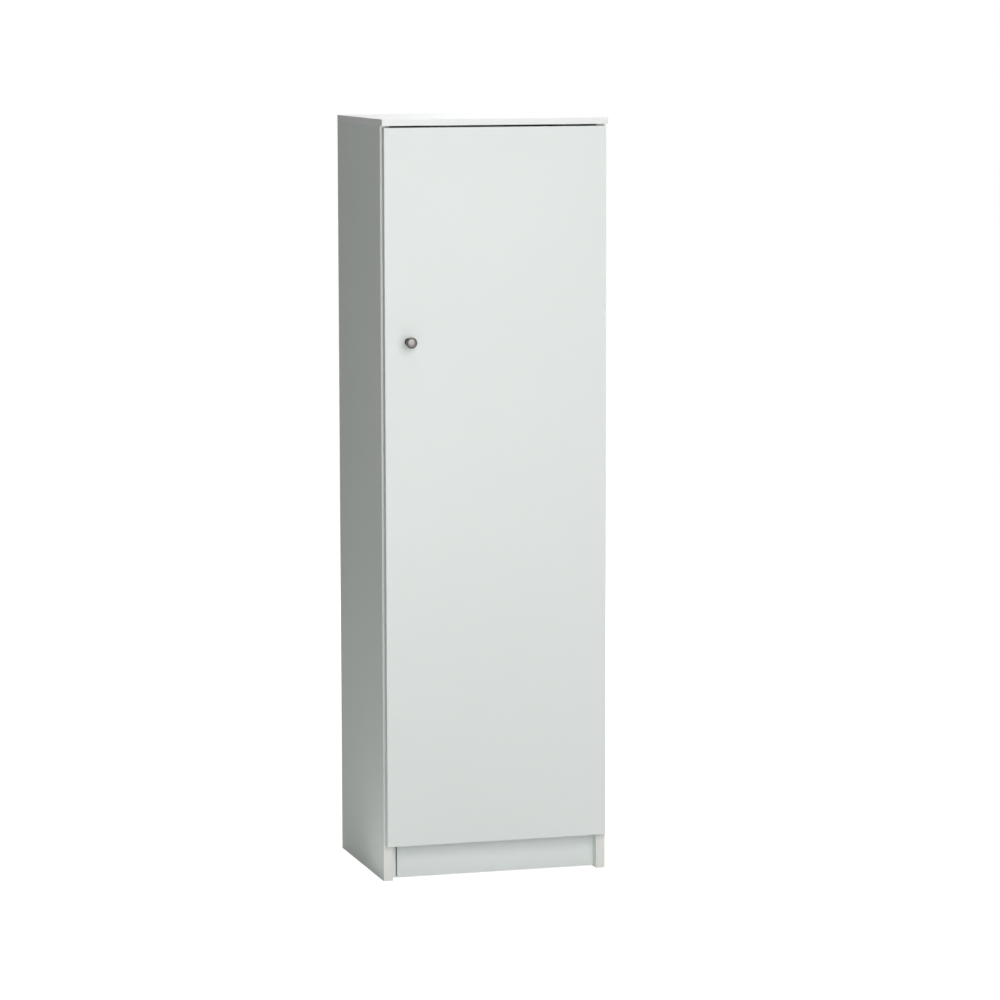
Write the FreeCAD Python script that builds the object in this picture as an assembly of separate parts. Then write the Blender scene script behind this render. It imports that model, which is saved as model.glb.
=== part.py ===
import FreeCAD, Part
import math
import os

# Free-standing broom cupboard in melamine-faced chipboard: two sides that run to the
# floor, a top laid over them, a recessed plinth, a tall bay for brooms beside a bay of
# shelves, and one full-height door on three single-pivot cup hinges.
# Millimetres. +X is to the right, +Y to the rear, +Z up. While it is drawn, Y = 0 is the
# front edge of the sides. Each piece is then moved so that the origin is on the floor in
# the middle of the outline, knob included.

# ---------------------------------------------------------------- driving dimensions
# outside
height = 1770.0
width = 540.0
side_depth = 400.0

# boards
side_thickness = 22.0
board_thickness = 15.0
door_thickness = 16.0
back_thickness = 3.0
top_front_radius = 3.0
door_arris = 0.8

# levels and places inside
plinth_height = 86.0
plinth_recess = 22.0
plinth_floor_gap = 3.0
plinth_end_gap = 3.5
hat_clear_height = 259.0
shelf_bay_width = 232.0
partition_setback = 4.0
shelf_setback = 18.0
shelf_end_gap = 1.0
shelf_count = 3

# plinth end blocks
block_thickness = 12.0
block_depth = 45.0
block_screw_setback = 31.0
block_screw_margin = 20.0

# back sheet and its rebate
rebate_width = 8.0
back_recess = 1.0
back_edge_gap = 0.5
back_sheet_joint_gap = 1.0
nail_length = 16.0
nail_radius = 0.8
nail_head_radius = 2.2
nail_head_thickness = 0.6
nail_pitch = 280.0
nail_end_margin = 60.0

# door
door_gap = 3.0
door_side_inset = 4.5
door_top_gap = 4.5
door_drop = 2.0

# cam fittings and dowels
cam_radius = 7.5
cam_thickness = 12.0
cam_line = 7.5
cam_slot = 7.4
cam_clearance = 0.1
cam_notch_length = 9.0
cam_notch_width = 1.6
cam_notch_depth = 2.0
bolt_reach = 34.0
bolt_grip = 11.0
bolt_radius = 3.0
bolt_neck_radius = 2.0
bolt_neck_length = 4.0
bolt_head_radius = 3.4
bolt_head_length = 5.0
bolt_hole_radius = 4.0
cam_edge_distance = 50.0
dowel_radius = 4.0
dowel_length = 30.0
dowel_in_face = 10.0
dowel_end_gap = 0.5
dowel_from_cam = 64.0

# shelf supports
pin_radius = 2.5
pin_in_hole = 8.0
pin_hole_extra = 0.5
pin_reach = 9.0
pin_flat_width = 8.0
pin_flat_thickness = 1.2
pin_edge_distance = 45.0
pin_hole_pitch = 32.0

# cup hinge
hinge_end_distance = 100.0
hinge_count = 3
cup_radius = 17.5
cup_depth = 12.5
cup_wall = 1.0
cup_tab = 3.0
cup_seat_clearance = 0.1
flange_thickness = 1.0
flange_radius = 18.6
ear_radius = 5.5
ear_offset = 9.5
ear_spacing = 48.0
pivot_depth = 8.5
pivot_edge_distance = 7.2
hinge_pin_radius = 1.25
hinge_pin_end_gap = 0.2
pin_running_clearance = 0.08
eye_radius = 2.4
neck_width = 7.0
arm_metal = 2.0
neck_rise_x = 3.5
neck_rise_y = 2.0
arm_standoff = 10.0
arm_front = 12.0
arm_length = 52.0
arm_width = 13.6
arm_cheek_metal = 1.4
arm_cheek_gap = 3.4
plate_setback = 37.0
plate_wing_width = 22.0
plate_wing_length = 54.0
plate_wing_metal = 2.0
plate_screw_spacing = 32.0
spine_width = 10.0
spine_overhang = 1.0
arm_screw_inset = 8.0

# knob
knob_edge_distance = 55.5
knob_top_distance = 489.5
knob_reach = 36.0
knob_head_radius = 13.0
knob_face_radius = 7.8
knob_base_radius = 8.8
knob_neck_radius = 5.6
knob_base_thickness = 1.6
knob_shoulder = 25.5
knob_shoulder_radius = 11.6
knob_screw_radius = 2.0
knob_screw_grip = 14.0
knob_screw_end_gap = 2.0

# screws; the share is how far one goes through the board that it bites in
screw_radius = 1.75
screw_head_radius = 3.6
screw_head_height = 2.0
plate_screw_radius = 2.5
plate_screw_head_radius = 4.2
plate_screw_head_height = 1.6
cup_screw_head_height = 1.0
flush_head_radius = 2.6
flush_head_height = 0.24
screw_hole_clearance = 0.1
bite_share = 0.65

# small parts that repeat many times are drawn with this many sides
nail_sides = 4
shank_sides = 6
head_sides = 6
cam_sides = 8
ear_sides = 12
flange_sides = 24
knob_sides = 32
knob_rings = 6

# magnetic catch
catch_thickness = 13.0
catch_depth = 30.0
catch_body_height = 32.0
catch_height = 52.0
catch_ear_thickness = 3.0
catch_ear_setback = 4.0
catch_drop = 220.0
catch_air_gap = 0.3
magnet_thickness = 7.0
magnet_depth = 10.0
magnet_height = 26.0
strike_thickness = 1.2
strike_width = 14.0
strike_height = 44.0
strike_screw_spacing = 29.0

# door buffers
buffer_radius = 4.0
buffer_end_distance = 22.0

# wall bracket
bracket_width = 62.0
bracket_leg = 30.0
bracket_metal = 2.0
wall_hole_radius = 2.75
wall_hole_spacing = 32.0
wall_hole_drop = 22.0
wall_hole_clearance = 1.5
bracket_screw_spacing = 44.0
bracket_screw_inset = 18.0

# ---------------------------------------------------------------- places worked out
inner_x = width / 2 - side_thickness
side_top = height - board_thickness
rebate_depth = back_thickness + back_recess
board_rear = side_depth - rebate_depth
door_back = -door_gap
door_front = door_back - door_thickness
door_half = width / 2 - door_side_inset
door_bottom = plinth_height - door_drop
door_top = side_top - door_top_gap
floor_panel_top = plinth_height + board_thickness
hat_shelf_top = side_top - hat_clear_height
hat_shelf_bottom = hat_shelf_top - board_thickness
partition_left = -inner_x + shelf_bay_width
partition_right = partition_left + board_thickness
outline_middle = (door_front - knob_reach + side_depth) / 2
cam_rows = [cam_edge_distance, board_rear - cam_edge_distance]
dowel_rows = [cam_edge_distance + dowel_from_cam, board_rear - cam_edge_distance - dowel_from_cam]
hinge_step = (door_top - door_bottom - 2 * hinge_end_distance) / (hinge_count - 1)
hinge_heights = [door_bottom + hinge_end_distance + hinge_step * i for i in range(hinge_count)]
pivot_x = door_half - pivot_edge_distance
pivot_y = door_back - pivot_depth
cup_x = door_half - cup_tab - cup_radius
pin_offset_in_cup = pivot_x - cup_x + hinge_pin_radius
hinge_pin_length = 2 * (math.sqrt((cup_radius - cup_seat_clearance) ** 2 - pin_offset_in_cup ** 2)
                        - hinge_pin_end_gap)
knob_x = -door_half + knob_edge_distance
knob_z = door_top - knob_top_distance
catch_z = hat_shelf_bottom - catch_drop

V = FreeCAD.Vector
RIGHT = V(1, 0, 0)
LEFT = V(-1, 0, 0)
REAR = V(0, 1, 0)
FRONT = V(0, -1, 0)
UP = V(0, 0, 1)
DOWN = V(0, 0, -1)


# ---------------------------------------------------------------- drawing helpers
def box(x0, x1, y0, y1, z0, z1):
    """Block between two corners."""
    return Part.makeBox(x1 - x0, y1 - y0, z1 - z0, V(x0, y0, z0))


def rod(radius, length, start, direction):
    """Round bar from a point along a direction."""
    return Part.makeCylinder(radius, length, start, direction)


def ring(radius, x, sides):
    """Corners of a regular outline across the X axis, the last one back on the first."""
    turn = 2 * math.pi / sides
    return [V(x, radius * math.cos(turn * i), radius * math.sin(turn * i)) for i in range(sides + 1)]


def flat_face(corners):
    """Flat face inside a closed run of corners."""
    return Part.Face(Part.makePolygon(corners))


def prism(radius, length, start_x, sides):
    """Bar of a regular outline along +X."""
    return flat_face(ring(radius, start_x, sides)).extrude(V(length, 0, 0))


def fused(shapes):
    """One solid from shapes that touch or overlap."""
    first = shapes[0]
    whole = first.fuse(shapes[1:]) if len(shapes) > 1 else first
    return whole.removeSplitter()


def placed(shape, origin, along, up):
    """Moves a shape drawn about the origin so that its +X points along and its +Z up."""
    side = up.cross(along)
    matrix = FreeCAD.Matrix(along.x, side.x, up.x, origin.x,
                            along.y, side.y, up.y, origin.y,
                            along.z, side.z, up.z, origin.z,
                            0, 0, 0, 1)
    moved = shape.copy()
    moved.Placement = FreeCAD.Placement(matrix).multiply(shape.Placement)
    return moved


def all_placed(shape, places):
    """One copy of a shape at each (origin, along, up)."""
    return [placed(shape, *place) for place in places]


# ---------------------------------------------------------------- cam fittings and dowels
# Each is drawn with its origin on the joint line where two boards meet, +X into the board
# that carries the cam and +Z towards the face that the cam is dropped in from.
def cam_blank(radius, thickness):
    """Disc on the cam's axis, from the bottom of its seat up."""
    return placed(prism(radius, thickness, 0, cam_sides),
                  V(bolt_reach, 0, cam_line - cam_thickness), UP, LEFT)


def cam_disc():
    """Disc with the slot that takes the bolt's head and a notch for the driver."""
    slot = box(bolt_reach - 2 * cam_radius, bolt_reach + cam_slot / 2,
               -cam_slot / 2, cam_slot / 2, -cam_slot / 2, cam_slot / 2)
    notch = box(bolt_reach - cam_notch_width / 2, bolt_reach + cam_notch_width / 2,
                -cam_notch_length / 2, cam_notch_length / 2,
                cam_line - cam_notch_depth, cam_line + cam_thickness)
    return cam_blank(cam_radius, cam_thickness).cut([slot, notch])


def cam_bolt():
    """Bolt screwed into one board, with a necked head that the cam draws in."""
    head_start = bolt_reach - bolt_head_length / 2
    neck_start = head_start - bolt_neck_length
    return fused([prism(bolt_radius, bolt_grip + neck_start, -bolt_grip, shank_sides),
                  prism(bolt_neck_radius, bolt_neck_length, neck_start, shank_sides),
                  prism(bolt_head_radius, bolt_head_length, head_start, shank_sides)])


def cam_bore():
    """What is bored out of the board that carries the cam: its seat and the bolt's way in."""
    seat = cam_blank(cam_radius + cam_clearance, 2 * cam_thickness)
    return fused([seat, prism(bolt_hole_radius, bolt_reach, 0, shank_sides)])


def bolt_bore():
    """What is bored out of the board that the bolt is screwed into."""
    return prism(bolt_radius, bolt_grip, -bolt_grip, shank_sides)


def dowel():
    """Beech dowel across the joint line."""
    return prism(dowel_radius, dowel_length, -dowel_in_face, shank_sides)


def dowel_bore():
    """Hole for a dowel through both boards."""
    return prism(dowel_radius, dowel_length + 2 * dowel_end_gap,
                 -dowel_in_face - dowel_end_gap, shank_sides)


def corner_joints(rows):
    """Joint lines where the top lies on the sides, left then right."""
    line = inner_x + cam_line
    return ([(V(-line, y, side_top), DOWN, RIGHT) for y in rows],
            [(V(line, y, side_top), DOWN, LEFT) for y in rows])


def shelf_joints(underside, rows):
    """Joint lines where a fixed board meets the sides, left then right."""
    z = underside + cam_line
    return ([(V(-inner_x, y, z), RIGHT, DOWN) for y in rows],
            [(V(inner_x, y, z), LEFT, DOWN) for y in rows])


top_cams = corner_joints(cam_rows)
top_dowels = corner_joints(dowel_rows)
floor_cams = shelf_joints(plinth_height, cam_rows)
floor_dowels = shelf_joints(plinth_height, dowel_rows)
hat_cams = shelf_joints(hat_shelf_bottom, cam_rows)
hat_dowels = shelf_joints(hat_shelf_bottom, dowel_rows)
partition_x = (partition_left + partition_right) / 2
partition_foot_dowels = [(V(partition_x, y, floor_panel_top), UP, RIGHT) for y in dowel_rows]
partition_head_dowels = [(V(partition_x, y, hat_shelf_bottom), DOWN, RIGHT) for y in dowel_rows]
plinth_dowels = [(V(x, plinth_recess + board_thickness / 2, plinth_height), DOWN, RIGHT)
                 for x in (-inner_x / 2, inner_x / 2)]


# ---------------------------------------------------------------- screws
# Drawn with the underside of the head at the origin and the shank along +X.
def screw(radius, length, head_radius, head_height):
    """Flat-ended screw with a low round head."""
    return fused([prism(radius, length, 0, shank_sides),
                  prism(head_radius, head_height, -head_height, head_sides)])


def screw_bore(radius, length):
    """Hole that the shank bites in."""
    return prism(radius, length, 0, shank_sides)


def clearance_bore(radius, metal):
    """Loose hole through a plate that a screw head clamps."""
    return prism(radius + screw_hole_clearance, 3 * metal, -metal, shank_sides)


# ---------------------------------------------------------------- back sheets and nails
back_joint = hat_shelf_bottom + board_thickness / 2
back_half = inner_x + rebate_width - back_edge_gap
back_foot = plinth_height
back_head = side_top + rebate_width - back_edge_gap
lower_back = box(-back_half, back_half, board_rear, board_rear + back_thickness,
                 back_foot, back_joint - back_sheet_joint_gap / 2)
upper_back = box(-back_half, back_half, board_rear, board_rear + back_thickness,
                 back_joint + back_sheet_joint_gap / 2, back_head)


def spread(start, end, pitch):
    """Evenly spaced places from start to end, about a pitch apart."""
    steps = max(1, round((end - start) / pitch))
    return [start + (end - start) * i / steps for i in range(steps + 1)]


def back_nail():
    """Flat-headed nail, +X into the wood."""
    return fused([prism(nail_radius, nail_length, 0, nail_sides),
                  prism(nail_head_radius, nail_head_thickness, -nail_head_thickness, head_sides)])


nail_side_x = inner_x + rebate_width / 2
nail_edge_z = board_thickness / 4
side_nail_heights = (spread(back_foot + nail_end_margin, back_joint - nail_end_margin, nail_pitch)
                     + spread(back_joint + nail_end_margin, side_top - nail_end_margin, nail_pitch))
cross_nail_x = [-inner_x / 2, inner_x / 2]
nail_points = [(side * nail_side_x, z) for side in (-1, 1) for z in side_nail_heights]
nail_points += [(x, plinth_height + board_thickness / 2) for x in cross_nail_x]
nail_points += [(x, back_joint - nail_edge_z) for x in cross_nail_x]
nail_points += [(x, back_joint + nail_edge_z) for x in cross_nail_x]
nail_points += [(x, side_top + rebate_width / 2) for x in cross_nail_x]
nail_points += [(partition_x, z) for z in spread(floor_panel_top + 2 * nail_end_margin,
                                                 hat_shelf_bottom - 2 * nail_end_margin,
                                                 2 * nail_pitch)]
nail_face = board_rear + back_thickness
nail_places = [(V(x, nail_face, z), FRONT, UP) for x, z in nail_points]
back_nails = all_placed(back_nail(), nail_places)
nail_holes = all_placed(prism(nail_radius, nail_length, 0, nail_sides), nail_places)

# ---------------------------------------------------------------- wall bracket
bracket_foot_y = board_rear
bracket = fused([
    box(-bracket_width / 2, bracket_width / 2, bracket_foot_y - bracket_leg, bracket_foot_y,
        side_top - bracket_metal, side_top),
    box(-bracket_width / 2, bracket_width / 2, bracket_foot_y - bracket_metal, bracket_foot_y,
        side_top - bracket_leg, side_top)])
wall_hole_points = [(side * wall_hole_spacing / 2, side_top - wall_hole_drop) for side in (-1, 1)]
wall_holes = [rod(wall_hole_radius, bracket_leg, V(x, bracket_foot_y - bracket_leg / 2, z), REAR)
              for x, z in wall_hole_points]
wall_clearance_holes = all_placed(
    prism(wall_hole_radius + wall_hole_clearance, 3 * back_thickness, -back_thickness, ear_sides),
    [(V(x, board_rear, z), REAR, UP) for x, z in wall_hole_points])
bracket_screw_y = bracket_foot_y - bracket_screw_inset
bracket_screw_places = [(V(side * bracket_screw_spacing / 2, bracket_screw_y,
                           side_top - bracket_metal), UP, RIGHT) for side in (-1, 1)]
bracket_screw_length = bracket_metal + board_thickness * bite_share
bracket_screws = all_placed(screw(screw_radius, bracket_screw_length, screw_head_radius,
                                  screw_head_height), bracket_screw_places)
bracket_bites = all_placed(screw_bore(screw_radius, bracket_screw_length), bracket_screw_places)
bracket = bracket.cut(wall_holes + all_placed(clearance_bore(screw_radius, bracket_metal),
                                              bracket_screw_places))

# ---------------------------------------------------------------- shelf supports
bay_clear = hat_shelf_bottom - floor_panel_top
shelf_pitch = bay_clear / (shelf_count + 1)
shelf_levels = [floor_panel_top + shelf_pitch * (i + 1) for i in range(shelf_count)]
pin_rows = [pin_edge_distance, board_rear - pin_edge_distance]


def shelf_pin():
    """Steel peg with a flat tongue that the shelf lies on, +X out of the hole."""
    peg = prism(pin_radius, pin_in_hole + pin_reach, -pin_in_hole, shank_sides)
    tongue = box(shelf_end_gap, pin_reach, -pin_flat_width / 2, pin_flat_width / 2,
                 pin_radius - pin_flat_thickness, pin_radius)
    return fused([peg, tongue])


def side_pin_places(heights):
    """Places in the left side, front and rear, at each height."""
    return [(V(-inner_x, y, z), RIGHT, UP) for y in pin_rows for z in heights]


def partition_pin_places(heights):
    """Places in the partition, front and rear, at each height."""
    return [(V(partition_left, y, z), LEFT, UP) for y in pin_rows for z in heights]


pin_heights = [level - pin_radius for level in shelf_levels]
pin_hole_heights = [z + step * pin_hole_pitch for z in pin_heights for step in (-1, 0, 1)]
pin_hole_depth = pin_in_hole + pin_hole_extra
pin_hole = prism(pin_radius, pin_hole_depth, -pin_hole_depth, shank_sides)
shelf_pins = all_placed(shelf_pin(), side_pin_places(pin_heights) + partition_pin_places(pin_heights))
side_pin_holes = all_placed(pin_hole, side_pin_places(pin_hole_heights))
partition_pin_holes = all_placed(pin_hole, partition_pin_places(pin_hole_heights))


def shelf(level):
    """Loose shelf resting on four supports."""
    return box(-inner_x + shelf_end_gap, partition_left - shelf_end_gap,
               shelf_setback, board_rear - shelf_end_gap, level, level + board_thickness)


# ---------------------------------------------------------------- plinth
block_front = plinth_recess
left_block = box(-inner_x, -inner_x + block_thickness, block_front, block_front + block_depth,
                 plinth_floor_gap, plinth_height)
right_block = box(inner_x - block_thickness, inner_x, block_front, block_front + block_depth,
                  plinth_floor_gap, plinth_height)
block_screw_y = block_front + block_screw_setback
block_screw_heights = [plinth_floor_gap + block_screw_margin, plinth_height - block_screw_margin]
left_block_screws = [(V(-inner_x + block_thickness, block_screw_y, z), LEFT, UP)
                     for z in block_screw_heights]
right_block_screws = [(V(inner_x - block_thickness, block_screw_y, z), RIGHT, UP)
                      for z in block_screw_heights]
block_screw_length = block_thickness + side_thickness * bite_share
block_screw = screw(screw_radius, block_screw_length, screw_head_radius, screw_head_height)
block_bite = screw_bore(screw_radius, block_screw_length)
block_screws = all_placed(block_screw, left_block_screws + right_block_screws)
left_block = left_block.cut(all_placed(block_bite, left_block_screws))
right_block = right_block.cut(all_placed(block_bite, right_block_screws))
plinth_board = box(-inner_x + block_thickness + plinth_end_gap, inner_x - block_thickness,
                   plinth_recess, plinth_recess + board_thickness,
                   plinth_floor_gap, plinth_height)
plinth_board = plinth_board.cut(all_placed(dowel_bore(), plinth_dowels))

# ---------------------------------------------------------------- magnetic catch
catch_front = door_back + strike_thickness + catch_air_gap
catch_rear = catch_front + catch_depth
catch_x = -inner_x + catch_thickness / 2
catch_screw_y = (catch_front + catch_rear) / 2
catch_screw_offset = (catch_height + catch_body_height) / 4
catch_screw_places = [(V(-inner_x + catch_ear_thickness, catch_screw_y,
                         catch_z + side * catch_screw_offset), LEFT, UP)
                      for side in (-1, 1)]
catch_body = fused([
    box(-inner_x, -inner_x + catch_thickness, catch_front, catch_rear,
        catch_z - catch_body_height / 2, catch_z + catch_body_height / 2),
    box(-inner_x, -inner_x + catch_ear_thickness, catch_ear_setback, catch_rear,
        catch_z - catch_height / 2, catch_z + catch_height / 2)])
magnet = box(catch_x - magnet_thickness / 2, catch_x + magnet_thickness / 2,
             catch_front, catch_front + magnet_depth,
             catch_z - magnet_height / 2, catch_z + magnet_height / 2)
catch_housing = catch_body.cut([magnet] + all_placed(
    clearance_bore(screw_radius, catch_ear_thickness), catch_screw_places))
catch_screw_length = catch_ear_thickness + side_thickness * bite_share
catch_screws = all_placed(screw(screw_radius, catch_screw_length, screw_head_radius,
                                screw_head_height), catch_screw_places)
catch_bites = all_placed(screw_bore(screw_radius, catch_screw_length), catch_screw_places)
strike_screw_places = [(V(catch_x, door_back + strike_thickness,
                          catch_z + side * strike_screw_spacing / 2), FRONT, UP)
                       for side in (-1, 1)]
strike_screw_length = strike_thickness + door_thickness * bite_share
strike_plate = box(catch_x - strike_width / 2, catch_x + strike_width / 2,
                   door_back, door_back + strike_thickness,
                   catch_z - strike_height / 2, catch_z + strike_height / 2)

# ---------------------------------------------------------------- cup hinges
# Drawn for a hinge at height zero. The arm is bolted over the spine of a plate on the
# right side, and its neck reaches round the front edge of the side into the cup.
def bent_strip(points, metal, width):
    """Sheet metal seen on edge in plan, bent at each point, its width centred on z = 0."""
    runs = [end.sub(start).normalize() for start, end in zip(points, points[1:])]
    across = [UP.cross(run) for run in runs]
    mitres = [(before + after) * (metal / 2 / (1 + before.dot(after)))
              for before, after in zip(across[:1] + across, across + across[-1:])]
    low = V(0, 0, -width / 2)
    outline = [point + mitre + low for point, mitre in zip(points, mitres)]
    outline += [point - mitre + low for point, mitre in reversed(list(zip(points, mitres)))]
    return flat_face(outline + outline[:1]).extrude(V(0, 0, width))


def hinge_arm():
    """Pressed steel arm: a channel over the plate's spine and a neck with the pivot eye."""
    web_x = inner_x - arm_standoff - arm_metal / 2
    neck = bent_strip([V(pivot_x, pivot_y, 0),
                       V(inner_x - neck_rise_x, pivot_y, 0),
                       V(inner_x - neck_rise_x, neck_rise_y, 0),
                       V(web_x, arm_front, 0),
                       V(web_x, arm_front + arm_metal, 0)], arm_metal, neck_width)
    eye = placed(prism(eye_radius, neck_width, -neck_width / 2, ear_sides),
                 V(pivot_x, pivot_y, 0), UP, RIGHT)
    web = box(web_x - arm_metal / 2, web_x + arm_metal / 2, arm_front, arm_front + arm_length,
              -arm_width / 2, arm_width / 2)
    cheeks = [box(web_x, inner_x - arm_cheek_gap, arm_front, arm_front + arm_length,
                  min(a, b), max(a, b))
              for a, b in ((arm_width / 2, arm_width / 2 - arm_cheek_metal),
                           (-arm_width / 2, -arm_width / 2 + arm_cheek_metal))]
    arm = fused([neck, eye, web] + cheeks)
    bore = rod(hinge_pin_radius + pin_running_clearance, 2 * neck_width,
               V(pivot_x, pivot_y, -neck_width), UP)
    return arm.cut([bore] + all_placed(clearance_bore(plate_screw_radius, arm_metal),
                                       arm_screw_places))


arm_face_x = inner_x - arm_standoff - arm_metal
arm_screw_ys = [arm_front + arm_screw_inset, arm_front + arm_length - arm_screw_inset]
arm_screw_places = [(V(arm_face_x, y, 0), RIGHT, UP) for y in arm_screw_ys]
arm_screw_length = arm_metal + arm_standoff * bite_share
arm_screw = screw(plate_screw_radius, arm_screw_length, plate_screw_head_radius,
                  plate_screw_head_height)
plate_face_x = inner_x - plate_wing_metal
plate_screw_length = plate_wing_metal + side_thickness * bite_share
plate_screw_places = [(V(plate_face_x, plate_setback, side * plate_screw_spacing / 2), RIGHT, UP)
                      for side in (-1, 1)]
plate_screw = screw(plate_screw_radius, plate_screw_length, plate_screw_head_radius,
                    plate_screw_head_height)


def hinge_plate():
    """Cross-shaped mounting plate: two wings for the screws and a raised spine."""
    wing_half = plate_wing_width / 2
    straight = plate_wing_length / 2 - wing_half
    wings = [box(plate_face_x, inner_x, plate_setback - wing_half, plate_setback + wing_half,
                 -straight, straight)]
    wings += all_placed(prism(wing_half, plate_wing_metal, 0, ear_sides),
                        [(V(plate_face_x, plate_setback, side * straight), RIGHT, UP)
                         for side in (-1, 1)])
    spine = box(inner_x - arm_standoff, inner_x, arm_front + spine_overhang,
                arm_front + arm_length + spine_overhang, -spine_width / 2, spine_width / 2)
    plate = fused(wings + [spine])
    holes = all_placed(clearance_bore(plate_screw_radius, plate_wing_metal), plate_screw_places)
    bites = all_placed(screw_bore(plate_screw_radius, arm_screw_length), arm_screw_places)
    return plate.cut(holes + bites)


ear_x = cup_x - ear_offset
ear_places = [(V(ear_x, door_back + flange_thickness, side * ear_spacing / 2), FRONT, UP)
              for side in (-1, 1)]
cup_screw_length = flange_thickness + door_thickness * bite_share
cup_screw = screw(screw_radius, cup_screw_length, screw_head_radius, cup_screw_head_height)


def hinge_cup():
    """Pressed steel cup with a flange and two screw ears, sunk in the back of the door."""
    centre = V(cup_x, door_back, 0)
    body = rod(cup_radius - cup_seat_clearance, cup_depth, centre, FRONT)
    flange = placed(prism(flange_radius, flange_thickness, 0, flange_sides), centre, REAR, UP)
    bar = box(ear_x - ear_radius, ear_x + ear_radius, door_back, door_back + flange_thickness,
              -ear_spacing / 2, ear_spacing / 2)
    ears = all_placed(prism(ear_radius, flange_thickness, 0, ear_sides), ear_places)
    hollow = rod(cup_radius - cup_seat_clearance - cup_wall, cup_depth - cup_wall + flange_thickness,
                 V(cup_x, door_back + flange_thickness, 0), FRONT)
    pin_seat = placed(prism(hinge_pin_radius / math.cos(math.pi / ear_sides), hinge_pin_length,
                            -hinge_pin_length / 2, ear_sides), V(pivot_x, pivot_y, 0), UP, RIGHT)
    holes = all_placed(clearance_bore(screw_radius, flange_thickness), ear_places)
    return fused([body, flange, bar] + ears).cut([hollow, pin_seat] + holes)


def at_heights(shape, heights):
    """A copy of a shape drawn at height zero, at each height."""
    return [shape.translated(V(0, 0, z)) for z in heights]


def per_hinge(shapes):
    """Copies of every shape at each hinge."""
    return [copy for shape in shapes for copy in at_heights(shape, hinge_heights)]


hinge_arms = at_heights(hinge_arm(), hinge_heights)
hinge_plates = at_heights(hinge_plate(), hinge_heights)
hinge_cups = at_heights(hinge_cup(), hinge_heights)
hinge_pin = rod(hinge_pin_radius, hinge_pin_length, V(pivot_x, pivot_y, -hinge_pin_length / 2), UP)
hinge_pins = at_heights(hinge_pin, hinge_heights)
arm_screws = per_hinge(all_placed(arm_screw, arm_screw_places))
plate_screws = per_hinge(all_placed(plate_screw, plate_screw_places))
plate_bites = per_hinge(all_placed(screw_bore(plate_screw_radius, plate_screw_length),
                                   plate_screw_places))
cup_screws = per_hinge(all_placed(cup_screw, ear_places))
cup_bites = per_hinge(all_placed(screw_bore(screw_radius, cup_screw_length), ear_places))
cup_seats = at_heights(rod(cup_radius, cup_depth, V(cup_x, door_back, 0), FRONT), hinge_heights)

# ---------------------------------------------------------------- knob
knob_place = (V(knob_x, door_front, knob_z), FRONT, UP)


def knob_body():
    """Turned knob: a small foot, a waisted neck and a rounded head with a flat face, drawn
    through rings along its two curves."""
    waist = (knob_base_thickness + knob_shoulder) / 2
    rim_middle = (knob_shoulder + knob_reach) / 2
    foot = V(0, 0, knob_base_radius)
    neck = Part.Arc(V(knob_base_thickness, 0, knob_base_radius), V(waist, 0, knob_neck_radius),
                    V(knob_shoulder, 0, knob_shoulder_radius))
    rim = Part.Arc(V(knob_shoulder, 0, knob_shoulder_radius), V(rim_middle, 0, knob_head_radius),
                   V(knob_reach, 0, knob_face_radius))
    profile = [foot] + neck.discretize(Number=knob_rings) + rim.discretize(Number=knob_rings)[1:]
    rings = [ring(point.z, point.x, knob_sides) for point in profile]
    facets = [flat_face([a, b, d, c, a]) for back, front in zip(rings, rings[1:])
              for a, b, c, d in zip(back, back[1:], front, front[1:])]
    turned = Part.makeSolid(Part.makeShell([flat_face(rings[0])] + facets + [flat_face(rings[-1])]))
    return turned.cut(screw_bore(knob_screw_radius, knob_screw_grip))


knob = placed(knob_body(), *knob_place)
knob_screw_place = (V(knob_x, door_back, knob_z), FRONT, UP)
knob_screw_length = door_thickness + knob_screw_grip - knob_screw_end_gap
knob_screw = placed(screw(knob_screw_radius, knob_screw_length, screw_head_radius,
                          screw_head_height), *knob_screw_place)

# ---------------------------------------------------------------- door and its trim
buffer_x = -door_half + (side_thickness - door_side_inset) / 2
buffer_heights = [door_bottom + buffer_end_distance, door_top - buffer_end_distance]
door_buffers = all_placed(prism(buffer_radius, door_gap, 0, ear_sides),
                          [(V(buffer_x, door_back, z), REAR, UP) for z in buffer_heights])
door_panel = box(-door_half, door_half, door_front, door_back, door_bottom, door_top)
door_panel = door_panel.makeChamfer(door_arris, door_panel.Edges)
knob_hole = placed(clearance_bore(knob_screw_radius, door_thickness), *knob_screw_place)
strike_screws = all_placed(screw(screw_radius, strike_screw_length, flush_head_radius,
                                 flush_head_height), strike_screw_places)
strike_bites = all_placed(screw_bore(screw_radius, strike_screw_length), strike_screw_places)
strike_plate = strike_plate.cut(all_placed(clearance_bore(screw_radius, strike_thickness),
                                           strike_screw_places))
door_panel = door_panel.cut(cup_seats + cup_bites + [knob_hole] + strike_bites)

# ---------------------------------------------------------------- carcass boards
def bored(board, cam_places=(), bolt_places=(), dowel_places=(), others=()):
    """A board with its fittings' holes."""
    return board.cut(all_placed(cam_bore(), cam_places) + all_placed(bolt_bore(), bolt_places)
                     + all_placed(dowel_bore(), dowel_places) + list(others))


def side_panel(side):
    """One side, with the rebate for the back sheet; side is -1 for left, 1 for right."""
    outer = side * width / 2
    inner = side * inner_x
    low, high = min(outer, inner), max(outer, inner)
    board = box(low, high, 0, side_depth, 0, side_top)
    rebate_reach = side * (inner_x + rebate_width)
    rebate = box(min(rebate_reach, 0), max(rebate_reach, 0), board_rear, side_depth,
                 back_foot, side_top)
    index = 0 if side < 0 else 1
    return bored(board.cut(rebate), top_cams[index], floor_cams[index] + hat_cams[index],
                 top_dowels[index] + floor_dowels[index] + hat_dowels[index], nail_holes)


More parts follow.
